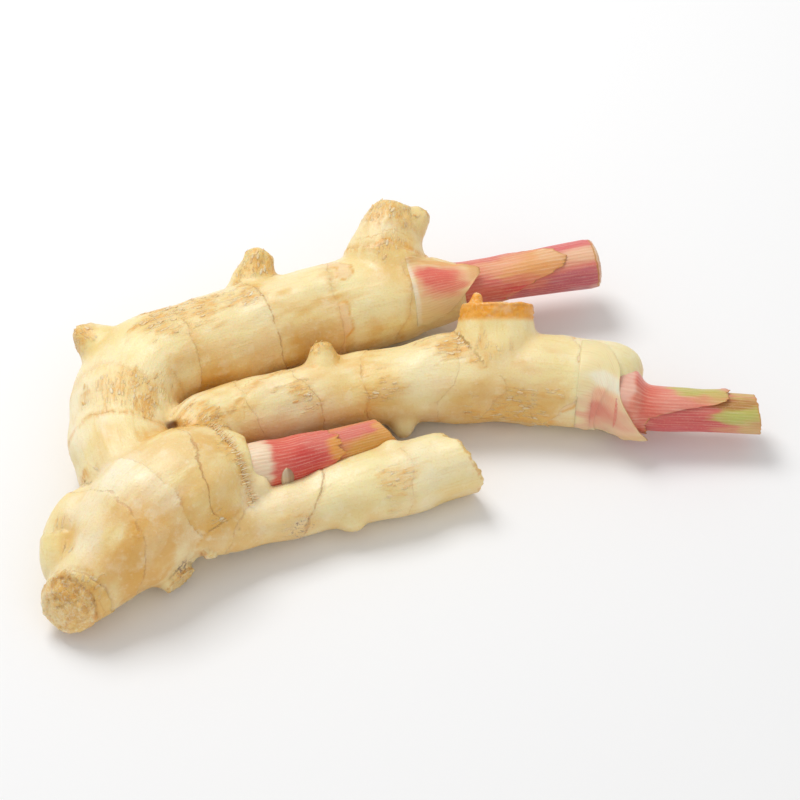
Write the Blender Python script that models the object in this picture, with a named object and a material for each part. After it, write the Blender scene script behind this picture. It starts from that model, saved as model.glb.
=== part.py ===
"""Young ginger: a rhizome of three fingers on one heel, with pink shoot stubs in their leaf sheaths.

All sizes are in millimetres in the tables below and become metres where the meshes are made.
The root lies on the plane z = 0. Its fingers run along +X, the heel is at -X and -Y.
"""

import math

import bmesh
import bpy
import numpy as np
from mathutils import Matrix, Vector

MM = 0.001

# Layout: the middle of the root's outline, taken off every position so that the origin is under it.
# The root rests slightly pressed flat, so its tables stand this much too high.
CENTRE_X = 2.7
CENTRE_Y = -4.8
SETTLED = 0.6

# Cross-sections are a little wider than they are tall.
WIDE = 1.04
TALL = 0.95

# Each growth is a row of stations along its middle line: x, y, z, radius.
# tip is how far its rounded end reaches past the last station; 0 leaves it flat.
GROWTHS = {
    "heel": {
        "stations": [
            (-91, -76.5, 9.2, 6.9),
            (-87.5, -71, 9.6, 7.4),
            (-83.5, -65.5, 10.5, 8.8),
            (-79, -59.5, 12, 10.6),
            (-73.5, -52, 14, 14.6),
            (-66.5, -43.5, 16, 16.8),
            (-58.5, -36, 16, 17.2),
            (-51.5, -31, 16, 15.2),
            (-46, -28, 16, 12),
            (-40, -26.5, 16, 8.6),
        ],
        "tip": 0,
    },
    "heel_lobe": {
        "stations": [
            (-75, -41, 14, 11),
            (-82, -45, 13, 10.4),
            (-85.5, -51, 12, 9.2),
            (-86, -58, 11, 7),
        ],
        "tip": 4,
    },
    "back_finger": {
        "stations": [
            (-67, -38, 16, 12),
            (-72, -30, 16, 13.4),
            (-75.5, -16.5, 15, 14),
            (-76, -3, 14, 14.7),
            (-72.5, 8.5, 14, 15.2),
            (-63.5, 15.5, 14, 14.6),
            (-52.5, 20.8, 14, 14.3),
            (-38.5, 27.2, 14, 14),
            (-26, 31.8, 14, 13.9),
            (-13, 36.2, 14, 14),
            (-1.5, 39.5, 14, 13.3),
            (7, 41.2, 14, 11),
            (18, 43, 14, 7.8),
        ],
        "tip": 0,
    },
    "middle_finger": {
        "stations": [
            (-56, -20, 16, 8),
            (-54, -12, 15, 8.4),
            (-48, -8, 14.5, 9),
            (-38.5, -4, 13.5, 9.4),
            (-28, 0.2, 12.5, 10),
            (-14, 5, 12, 10.3),
            (0, 7.2, 12, 11),
            (12.5, 9.5, 12, 12.3),
            (28, 10.5, 12, 12.9),
            (42, 9, 12, 12.6),
            (54.5, 8, 12, 12.2),
            (60.5, 6.5, 12, 11.3),
            (64, 4.6, 12, 9),
        ],
        "tip": 2,
    },
    "front_finger": {
        "stations": [
            (-58, -47, 14, 8),
            (-52.5, -46, 13.5, 7.6),
            (-47, -43.5, 12, 6.9),
            (-40, -40, 10, 7),
            (-32, -36.5, 9, 7.5),
            (-21.5, -32.5, 9, 8.3),
            (-11, -28.5, 9, 9.2),
            (0, -25, 9, 9.7),
            (11, -20.5, 9, 9.5),
            (22, -16.5, 9, 9),
        ],
        "tip": 0,
    },
    "corner_bud": {
        "stations": [(-78, 10, 15, 10), (-84, 15, 19, 6.8), (-88.5, 18, 21, 4)],
        "tip": 2,
    },
    "back_bud": {
        "stations": [(-42, 36, 16, 9), (-41.5, 42, 21, 6), (-40.8, 46, 24, 4)],
        "tip": 2,
    },
    "back_bud_shoulder": {
        "stations": [(-43.5, 36, 17, 7.5), (-45, 40, 20, 5), (-46, 42, 21, 3)],
        "tip": 1.5,
    },
    "back_branch": {
        "stations": [
            (-4.5, 43, 16, 12.5),
            (-4, 50, 20.5, 11.4),
            (-3.2, 56, 24.5, 9),
            (-3, 60.5, 26.5, 7),
        ],
        "tip": 3,
    },
    "branch_scale": {
        "stations": [(-2, 54, 22.5, 8), (3, 58.5, 25, 5.6), (7, 61.5, 26.2, 3)],
        "tip": 2,
    },
    "middle_bud": {
        "stations": [(-20.5, 3.5, 13, 8.5), (-21.3, 8.5, 19, 5.4), (-22, 12, 22.5, 3.4)],
        "tip": 1.5,
    },
    "middle_stub": {
        "stations": [
            (27, 12, 14, 12.6),
            (27.1, 17.5, 18.6, 11.6),
            (27.2, 21.5, 22.2, 10.2),
            (27.3, 25.5, 25.6, 9.7),
            (27.4, 29.5, 29, 9.7),
        ],
        "tip": 0,
    },
    "middle_under_bud": {
        "stations": [(0.5, 2, 9, 7), (0.8, -2.5, 7, 4.4), (1, -5.5, 5.5, 2.4)],
        "tip": 1,
    },
    "front_under_bud": {
        "stations": [(-13.2, -34.5, 8, 5.5), (-14.2, -38.5, 6, 4)],
        "tip": 1.5,
    },
    "front_top_bud": {
        "stations": [(-1.5, -21.5, 12, 6), (-2, -19, 14.5, 4), (-2, -17.5, 15.5, 2.2)],
        "tip": 0.8,
    },
    "heel_bud": {
        "stations": [(-65, -51, 10, 8), (-60.5, -55, 7.5, 5.4), (-54.5, -59, 5.5, 4.2)],
        "tip": 0,
    },
}

# Plane cuts through the rhizome: where, which way the removed side lies, and its reach across.
KNIFE_CUTS = {
    "heel_cut": ((-86.7, -69.3, 9.6), (-0.42, -0.84, 0.34), 15),
    "stub_cut": ((27.3, 25.4, 25.5), (0.0, 0.76, 0.65), 14),
    "front_break": ((17.6, -18.4, 9), (0.88, 0.1, 0.3), 11),
    "heel_bud_cut": ((-57, -57.5, 6.3), (0.66, -0.66, -0.3), 6),
}
CUT_DEPTH = 14

# A shoot is a core of rolled young leaves in an outer sheath that ends short of it. Its foot
# stands in a socket in the finger's end.
SHOOTS = {
    "back_shoot": {
        "stations": [(10, 42, 14, 6), (29, 46.5, 14.5, 6.2), (44, 49.3, 15.5, 6.8), (58.3, 52, 16, 7.3)],
        "sheath_share": 0.67,
    },
    "middle_shoot": {
        "stations": [(60, 0.4, 11, 5.9), (72, -1.4, 11, 5.9), (84, -2, 11, 5.6), (99.8, -2.8, 10.5, 5.4)],
        "sheath_share": 0.89,
    },
    "centre_shoot": {
        "stations": [(-46, -28, 16, 5.6), (-32, -24.7, 16, 5.6), (-21.5, -20, 14.8, 5.2), (-1, -10.6, 12.5, 4.4)],
        "sheath_share": 0.56,
    },
}
JOINT_GAP = 0.3
SHEATH_WALL = 0.8

# Scale leaves lie on a finger's end and reach over the foot of its shoot. After x, y, z and
# radius come the angles of the leaf's two edges, round the finger from its far side (+Y).
SCALE_LEAVES = {
    "back_scale_leaf": [
        (2, 40, 14, 14.2, 82, 184),
        (6, 41, 14, 12.9, 78, 186),
        (11, 42, 14, 11, 76, 172),
        (16, 43, 14, 9.5, 84, 150),
        (22.5, 44.3, 14, 8.7, 98, 108),
    ],
    "middle_scale_leaf": [
        (50, 8.6, 12, 13.3, 62, 215),
        (56, 7.8, 12, 13, 68, 214),
        (61, 5.4, 12, 12.6, 96, 213),
        (66, 1.3, 11.4, 10.6, 142, 214),
        (72, -1.2, 11, 8.8, 200, 216),
    ],
}
LEAF_WALL = 0.8

VOXEL = 1.3
SIDES = 28
SHOOT_SIDES = 18
SHOOT_SPAN = 4
SKIN_PASSES = 7
KEEP_FACES = 0.12

SKIN = ((0.93, 0.83, 0.58), 0.45)
BLUSH = ((0.83, 0.32, 0.32), 0.4)
LEAF = ((0.90, 0.70, 0.58), 0.45)


def material(name, colour, roughness):
    """A Principled BSDF of one colour, for an organic surface that isn't metallic."""
    made = bpy.data.materials.new(name)
    made.use_nodes = True
    shader = made.node_tree.nodes["Principled BSDF"]
    shader.inputs["Base Color"].default_value = (*colour, 1)
    shader.inputs["Roughness"].default_value = roughness
    shader.inputs["Metallic"].default_value = 0
    return made


def smooth_rows(stations, per_span=6):
    """A Catmull-Rom curve through the stations, as rows of x, y, z and radius."""
    rows = np.array(stations, float)
    rows[:, :3] -= (CENTRE_X, CENTRE_Y, SETTLED)
    first = 2 * rows[0] - rows[1]
    last = 2 * rows[-1] - rows[-2]
    rows = np.vstack([first, rows, last])
    t = np.linspace(0, 1, per_span, endpoint=False)[:, None]
    spans = [
        b + 0.5 * ((c - a) * t + (2 * a - 5 * b + 4 * c - d) * t**2 + (3 * b - 3 * c + d - a) * t**3)
        for a, b, c, d in zip(rows, rows[1:], rows[2:], rows[3:])
    ]
    return np.vstack([*spans, rows[-2:-1]])


def ring_frames(rows):
    """Unit vectors along the curve, across it (level) and up from it, at each row."""
    along = np.gradient(rows[:, :3], axis=0)
    along /= np.linalg.norm(along, axis=1)[:, None]
    across = np.cross((0, 0, 1), along)
    across /= np.linalg.norm(across, axis=1)[:, None]
    return along, across, np.cross(along, across)


def with_tip(rows, tip):
    """The rows with a rounded end that reaches tip past the last one, over shrinking rings."""
    if not tip:
        return rows
    end = rows[-1]
    ahead = end[:3] - rows[-2][:3]
    ahead /= np.linalg.norm(ahead)
    domed = []
    for turn in np.radians((25, 48, 68, 82)):
        domed.append([*(end[:3] + ahead * tip * math.sin(turn)), end[3] * math.cos(turn)])
    return np.vstack([rows, domed])


def new_object(name, points, faces, finish=None):
    """A mesh object from points in millimetres, smooth shaded, with its finish."""
    mesh = bpy.data.meshes.new(name)
    mesh.from_pydata([Vector(p) * MM for p in points], [], faces)
    mesh.shade_smooth()
    if finish:
        mesh.materials.append(finish)
    made = bpy.data.objects.new(name, mesh)
    bpy.context.collection.objects.link(made)
    return made


def ring_points(rows, angles):
    """One ring of points for each row, at the given angles round the curve."""
    _, across, up = ring_frames(rows)
    turn = np.asarray(angles)
    reach = rows[:, 3][:, None, None]
    flat = WIDE * np.cos(turn)[..., None] * across[:, None] + TALL * np.sin(turn)[..., None] * up[:, None]
    return rows[:, None, :3] + reach * flat


def tube(name, rows, sides, finish=None):
    """A closed tube along the rows, with a flat fan over each end."""
    angles = np.arange(sides) * math.tau / sides
    rings = ring_points(rows, angles)
    count = len(rows)
    points = [*rings.reshape(-1, 3), rings[0].mean(axis=0), rings[-1].mean(axis=0)]
    foot, head = count * sides, count * sides + 1
    faces = []
    for j in range(sides):
        k = (j + 1) % sides
        faces.append((foot, k, j))
        faces.append((head, (count - 1) * sides + j, (count - 1) * sides + k))
        for i in range(count - 1):
            a = i * sides
            faces.append((a + j, a + k, a + sides + k, a + sides + j))
    return new_object(name, points, faces, finish)


def sheet(name, rings, closed, wall, finish):
    """An open sheet over the rings of points, thickened outwards by wall."""
    count, sides = rings.shape[:2]
    faces = []
    for i in range(count - 1):
        for j in range(sides if closed else sides - 1):
            k = (j + 1) % sides
            a, b = i * sides, (i + 1) * sides
            faces.append((a + j, a + k, b + k, b + j))
    made = new_object(name, rings.reshape(-1, 3), faces, finish)
    thick = made.modifiers.new("wall", "SOLIDIFY")
    thick.thickness = wall * MM
    thick.offset = 1
    return made


def slab(name, middle, away, reach, depth):
    """A block whose near face passes through middle and faces back along away."""
    body = bmesh.new()
    bmesh.ops.create_cube(body, size=1)
    bmesh.ops.scale(body, vec=(2 * reach * MM, 2 * reach * MM, depth * MM), verts=body.verts)
    bmesh.ops.translate(body, vec=(0, 0, depth * MM / 2), verts=body.verts)
    mesh = bpy.data.meshes.new(name)
    body.to_mesh(mesh)
    body.free()
    block = bpy.data.objects.new(name, mesh)
    bpy.context.collection.objects.link(block)
    place = Vector(middle) - Vector((CENTRE_X, CENTRE_Y, SETTLED))
    turn = Vector(away).to_track_quat("Z", "Y").to_matrix().to_4x4()
    block.matrix_world = Matrix.Translation(place * MM) @ turn
    return block


def cut(obj, block):
    """Takes the block's space out of the object, and hides the block."""
    block.hide_render = True
    block.display_type = "WIRE"
    step = obj.modifiers.new(block.name, "BOOLEAN")
    step.operation = "DIFFERENCE"
    step.object = block


def joined(name, parts, finish):
    """One object that holds all the parts' meshes."""
    body = bmesh.new()
    for part in parts:
        body.from_mesh(part.data)
        bpy.data.objects.remove(part)
    mesh = bpy.data.meshes.new(name)
    body.to_mesh(mesh)
    body.free()
    mesh.materials.append(finish)
    made = bpy.data.objects.new(name, mesh)
    bpy.context.collection.objects.link(made)
    return made


def make_rhizome(finish):
    """Every growth grown together into one body, then cut where the root was cut and broken."""
    parts = [
        tube(name, with_tip(smooth_rows(growth["stations"]), growth["tip"]), SIDES)
        for name, growth in GROWTHS.items()
    ]
    rhizome = joined("rhizome", parts, finish)
    together = rhizome.modifiers.new("grown_together", "REMESH")
    together.mode = "VOXEL"
    together.voxel_size = VOXEL * MM
    together.use_smooth_shade = True
    skin = rhizome.modifiers.new("skin", "SMOOTH")
    skin.factor = 0.5
    skin.iterations = SKIN_PASSES
    fewer = rhizome.modifiers.new("fewer_faces", "DECIMATE")
    fewer.ratio = KEEP_FACES
    for name, (middle, away, reach) in KNIFE_CUTS.items():
        cut(rhizome, slab(name, middle, away, reach, CUT_DEPTH))
    for name, shoot in SHOOTS.items():
        rows = smooth_rows(shoot["stations"], SHOOT_SPAN)
        rows[:, 3] += SHEATH_WALL + 3 * JOINT_GAP
        rows[0, :3] += (rows[0, :3] - rows[1, :3]) * JOINT_GAP / np.linalg.norm(rows[1, :3] - rows[0, :3])
        cut(rhizome, tube(name + "_socket", rows, SHOOT_SIDES))
    for name, leaf in SCALE_LEAVES.items():
        cut(rhizome, make_scale_leaf(name + "_seat", leaf, None, JOINT_GAP))
    cut(rhizome, slab("table", (CENTRE_X, CENTRE_Y, SETTLED), (0, 0, -1), 150, CUT_DEPTH))
    return rhizome


def make_shoot(name, shoot, finish, sheath_finish):
    """A shoot's core, and the outer leaf sheath that wraps the lower part of it."""
    rows = smooth_rows(shoot["stations"], SHOOT_SPAN)
    core = tube(name, rows, SHOOT_SIDES, finish)
    wrap = rows[: round(shoot["sheath_share"] * len(rows))].copy()
    wrap[:, 3] += JOINT_GAP + 0.1
    angles = np.arange(SHOOT_SIDES) * math.tau / SHOOT_SIDES
    sheath = sheet(name + "_sheath", ring_points(wrap, angles), True, SHEATH_WALL, sheath_finish)
    return core, sheath


def make_scale_leaf(name, stations, finish, spare=0):
    """A thin leaf scale over a finger's end, narrowing to its tip; spare swells it all round."""
    rows = smooth_rows(stations, 3)
    rows[:, 3] -= spare
    edges = np.radians(rows[:, 4:] + np.array((-3, 3)) * spare)
    share = np.linspace(0, 1, 12)
    angles = edges[:, :1] + (edges[:, 1:] - edges[:, :1]) * share
    if spare:
        ahead = rows[0] - rows[1]
        rows[0] += ahead * spare / np.linalg.norm(ahead[:3])
    return sheet(name, ring_points(rows, angles), False, LEAF_WALL + 2 * spare, finish)


def main():
    for old in list(bpy.data.objects):
        bpy.data.objects.remove(old)
    root = bpy.data.objects.new("ginger_root", None)
    bpy.context.collection.objects.link(root)
    skin = material("ginger_skin", *SKIN)
    blush = material("shoot_blush", *BLUSH)
    leaf_skin = material("leaf_skin", *LEAF)
    pieces = [make_rhizome(skin)]
    for name, shoot in SHOOTS.items():
        pieces += make_shoot(name, shoot, blush, blush)
    for name, leaf in SCALE_LEAVES.items():
        pieces.append(make_scale_leaf(name, leaf, leaf_skin))
    for piece in pieces:
        piece.parent = root


main()
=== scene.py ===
import math
from functools import partial

import bmesh
import bpy
import numpy as np
from mathutils import Matrix, Vector
from mathutils.bvhtree import BVHTree


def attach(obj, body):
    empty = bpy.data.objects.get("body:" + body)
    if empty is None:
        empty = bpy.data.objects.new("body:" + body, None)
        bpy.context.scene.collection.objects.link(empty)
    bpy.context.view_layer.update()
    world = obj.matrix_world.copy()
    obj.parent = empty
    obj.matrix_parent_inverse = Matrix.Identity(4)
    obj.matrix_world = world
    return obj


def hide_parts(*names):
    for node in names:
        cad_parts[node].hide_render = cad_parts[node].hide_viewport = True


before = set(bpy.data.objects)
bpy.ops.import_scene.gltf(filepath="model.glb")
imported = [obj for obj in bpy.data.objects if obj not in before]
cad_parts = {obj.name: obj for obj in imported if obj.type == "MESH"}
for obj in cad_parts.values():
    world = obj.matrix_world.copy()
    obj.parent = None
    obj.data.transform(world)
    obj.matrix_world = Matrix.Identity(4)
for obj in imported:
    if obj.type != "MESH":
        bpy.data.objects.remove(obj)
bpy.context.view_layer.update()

mm = 0.001
layout = {"middle": (2.7, -4.8, 0.6), "wide": 1.04, "tall": 0.95}  # same as the CAD layout, mm

# Growths of the rhizome: x, y, z, radius along the middle line of each, in mm of the layout
growths = {
    "heel": {
        "stations": [
            (-91, -76.5, 9.2, 6.9), (-87.5, -71, 9.6, 7.4), (-83.5, -65.5, 10.5, 8.8),
            (-79, -59.5, 12, 10.6), (-73.5, -52, 14, 14.6), (-66.5, -43.5, 16, 16.8),
            (-58.5, -36, 16, 17.2), (-51.5, -31, 16, 15.2), (-46, -28, 16, 12), (-40, -26.5, 16, 8.6),
        ],
        "tip": 0,
    },
    "heelLobe": {
        "stations": [(-75, -41, 14, 11), (-82, -45, 13, 10.4), (-85.5, -51, 12, 9.2), (-86, -58, 11, 7)],
        "tip": 4,
    },
    "backFinger": {
        "stations": [
            (-67, -38, 16, 12), (-72, -30, 16, 13.4), (-75.5, -16.5, 15, 14), (-76, -3, 14, 14.7),
            (-72.5, 8.5, 14, 15.2), (-63.5, 15.5, 14, 14.6), (-52.5, 20.8, 14, 14.3), (-38.5, 27.2, 14, 14),
            (-26, 31.8, 14, 13.9), (-13, 36.2, 14, 14), (-1.5, 39.5, 14, 13.3), (7, 41.2, 14, 11),
            (18, 43, 14, 7.8),
        ],
        "tip": 0,
    },
    "middleFinger": {
        "stations": [
            (-57, -19, 16.5, 8.6), (-54, -12.5, 15.5, 9.4), (-48, -8, 14.5, 9.3), (-38.5, -4, 13.5, 9.4),
            (-28, 0.2, 12.5, 10), (-14, 5, 12, 10.3), (0, 7.2, 12, 11), (12.5, 9.5, 12, 12.3),
            (28, 10.5, 12, 12.9), (42, 9, 12, 12.6), (54.5, 8, 12, 12.2), (60.5, 6.5, 12, 11.3),
            (64, 4.6, 12, 9),
        ],
        "tip": 2,
    },
    "frontFinger": {
        "stations": [
            (-58, -47, 14, 8), (-52.5, -46, 13.5, 7.9), (-47, -43.5, 12, 7.2), (-40, -40, 10, 7),
            (-32, -36.5, 9, 7.5), (-21.5, -32.5, 9, 8.3), (-11, -28.5, 9, 9.2), (0, -25, 9, 9.7),
            (11, -20.5, 9, 9.5), (22, -16.5, 9, 9),
        ],
        "tip": 0,
    },
    "cornerBud": {"stations": [(-78, 10, 15, 10), (-84, 15, 19, 6.8), (-88.5, 18, 21, 4)], "tip": 2},
    "backBud": {"stations": [(-42, 36, 16, 9), (-41.5, 42, 21, 6), (-40.8, 46, 24, 4)], "tip": 2},
    "backBudShoulder": {"stations": [(-43.5, 36, 17, 7.5), (-45, 40, 20, 5), (-46, 42, 21, 3)], "tip": 1.5},
    "backBranch": {
        "stations": [(-4.5, 43, 16, 12.5), (-4, 50, 20.5, 11.4), (-3.2, 56, 24.5, 9), (-3, 60.5, 26.5, 7)],
        "tip": 3,
    },
    "branchScale": {"stations": [(-2, 54, 22.5, 8), (3, 58.5, 25, 5.6), (7, 61.5, 26.2, 3)], "tip": 2},
    "middleBud": {
        "stations": [(-20.5, 3.5, 13, 8.5), (-21.3, 8.5, 19, 5.4), (-22, 12, 22.5, 3.4)], "tip": 1.5
    },
    "middleStub": {
        "stations": [
            (27, 12, 14, 12.6), (27.1, 17.5, 18.6, 11.6), (27.2, 21.5, 22.2, 10.2), (27.3, 25.5, 25.6, 9.9),
            (27.4, 29.5, 29, 10.2),
        ],
        "tip": 0,
    },
    "middleUnderBud": {"stations": [(0.5, 2, 9, 7), (0.8, -2.5, 7, 4.4), (1, -5.5, 5.5, 2.4)], "tip": 1},
    "frontUnderBud": {"stations": [(-13.2, -34.5, 8, 5.5), (-14.2, -38.5, 6, 4)], "tip": 1.5},
    "frontTopBud": {
        "stations": [(-1.5, -21.5, 12, 6), (-2, -19, 14.5, 4), (-2, -17.5, 15.5, 2.2)], "tip": 0.8
    },
    "heelBud": {"stations": [(-65, -51, 10, 8), (-60.5, -55, 7.5, 5.4), (-54.5, -59, 5.5, 4.2)], "tip": 0},
    "footLobe": {
        "stations": [(-45, -35.5, 16, 5.5), (-40.5, -34, 16.6, 4.4), (-36.5, -33, 16.8, 3)], "tip": 1.6
    },
    "stubCrumb": {"stations": [(21.5, 24.5, 26.4, 2.0), (21.6, 26, 28.8, 1.4)], "tip": 0.7},
}

# Knife and break faces: the growth each one ends, a point in it and the way it faces
cutFaces = {
    "heelCut": ("heel", (-86.7, -69.3, 9.6), (-0.42, -0.84, 0.34)),
    "stubCut": ("middleStub", (27.3, 25.4, 25.5), (0.0, 0.76, 0.65)),
    "frontBreak": ("frontFinger", (17.6, -18.4, 9), (0.88, 0.1, 0.3)),
    "heelBudCut": ("heelBud", (-57, -57.5, 6.3), (0.66, -0.66, -0.3)),
}

# Leaf scar rings: the growths each one crosses, a point on it and its normal towards the tip, in mm;
# line is how dark its thin line is, lip how far its edge stands up, warm its dry band, before and
# after how pale or golden the skin turns on each side, tongue how far torn skin reaches past it
rings = {
    "heelInner": (
        ("heel",), (-52.7, -36.9, 29.4), (0.89, 0.46, 0.03), dict(line=0.6, lip=0.16, after=0.25)
    ),
    "heelEnd": (("heel",), (-44.5, -29.4, 26), (0.86, 0.5, -0.06), dict(line=0.5, lip=0.55, warm=0.9)),
    "heelMiddle": (
        ("heel",), (-63.6, -42.9, 29.9), (0.66, 0.75, 0), dict(line=0.2, lip=0.25, before=0.6, after=0.35)
    ),
    "heelOuter": (
        ("heel", "heelLobe"),
        (-68.7, -56.4, 24.2),
        (0.72, 0.62, -0.31),
        dict(line=0.4, lip=0.35, before=-0.3, after=-0.2),
    ),
    "heelRim": (
        ("heel",), (-80.6, -66, 17.5), (0.3, 0.94, -0.1), dict(line=0.3, lip=0.5, warm=0.3, after=-0.5)
    ),
    "heelRimInner": (("heel",), (-83.5, -68.2, 16), (0.4, 0.9, -0.25), dict(line=0.3, lip=0.4, warm=0.9)),
    "lobeFold": (("heelLobe",), (-84, -54, 20), (0.3, 0.9, 0.1), dict(line=0.1, lip=0.4, after=-0.4)),
    "backFoot": (
        ("backFinger",),
        (-77, -18, 26),
        (-0.05, 0.98, -0.1),
        dict(line=0.35, lip=0.35, warm=0.8, before=0.3),
    ),
    "backBend": (
        ("backFinger",), (-74, -2, 26.7), (0.2, 0.85, -0.45), dict(line=0.1, lip=0.2, warm=0.4, after=-0.35)
    ),
    "backSecond": (
        ("backFinger",),
        (-57.5, 10.4, 23),
        (0.62, 0.6, -0.5),
        dict(line=0.3, lip=0.25, warm=0.35, before=0.4, after=0.4),
    ),
    "backThird": (
        ("backFinger",),
        (-37.6, 24, 24.4),
        (0.82, 0.55, -0.14),
        dict(line=0.5, lip=0.3, warm=0.2, before=0.25, after=0.4),
    ),
    "backFourth": (
        ("backFinger",),
        (-18.8, 30.2, 23.5),
        (0.9, 0.34, -0.27),
        dict(line=0.25, lip=0.3, warm=0.5, before=0.3, tongue=5.5),
    ),
    "branchFoot": (
        ("backBranch", "backFinger"),
        (-4, 46, 30),
        (0.1, 0.92, 0.36),
        dict(line=0.25, lip=0.5, warm=0.8, after=0.4, tongue=1.2),
    ),
    "branchNeck": (
        ("backBranch",), (-3.6, 52.2, 31), (0.08, 0.55, 0.83), dict(line=0.15, lip=0.3, warm=0.6, after=0.3)
    ),
    "backEnd": (
        ("backFinger",),
        (1.5, 36, 25),
        (0.9, 0.25, -0.35),
        dict(line=0.2, lip=0.3, warm=0.4, before=0.2, tongue=1),
    ),
    "middleFoot": (
        ("middleFinger",), (-50.2, -15.5, 24.1), (0.75, -0.55, 0.3), dict(line=0.05, lip=0.35, warm=0.9)
    ),
    "middleFirst": (
        ("middleFinger",),
        (-39, -12.2, 17.4),
        (0.88, 0.44, 0.1),
        dict(line=0.3, lip=0.2, warm=0.3, before=0.2, after=-0.4),
    ),
    "middleSecond": (
        ("middleFinger",),
        (-23.8, -5.6, 17.5),
        (0.84, 0.52, 0.05),
        dict(line=0.4, lip=0.25, warm=0.3, before=-0.3, after=-0.4),
    ),
    "middleThird": (
        ("middleFinger",),
        (-9, -0.4, 18.2),
        (0.98, 0.04, 0.19),
        dict(line=0.35, lip=0.2, warm=0.5, after=0.5),
    ),
    "middleFourth": (
        ("middleFinger",), (13.6, -0.9, 17.4), (0.98, -0.16, -0.12), dict(line=0.25, lip=0.1, before=-0.4)
    ),
    "middleFifth": (
        ("middleFinger",),
        (28.5, 3.2, 22),
        (0.72, 0.45, -0.52),
        dict(line=0.25, lip=0.25, warm=0.3, before=0.3, after=-0.1),
    ),
    "middleEnd": (
        ("middleFinger",),
        (48.6, 5.6, 20.8),
        (0.78, 0.05, -0.62),
        dict(line=0.25, lip=0.5, after=-0.5, tongue=1.6),
    ),
    "frontFirst": (
        ("frontFinger",),
        (-41.5, -43.7, 15.9),
        (0.9, -0.3, -0.3),
        dict(line=0.25, lip=0.3, before=0.2, after=-0.3),
    ),
    "frontSecond": (
        ("frontFinger",),
        (-23.4, -37.8, 13.8),
        (0.98, -0.13, -0.15),
        dict(line=0.5, lip=0.4, warm=0.2, before=0.45, after=-0.3),
    ),
    "frontThird": (
        ("frontFinger",),
        (3.6, -31.7, 13.8),
        (0.8, 0.45, -0.4),
        dict(line=0.2, lip=0.15, warm=0.3, before=0.35, after=-0.2),
    ),
}

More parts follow.
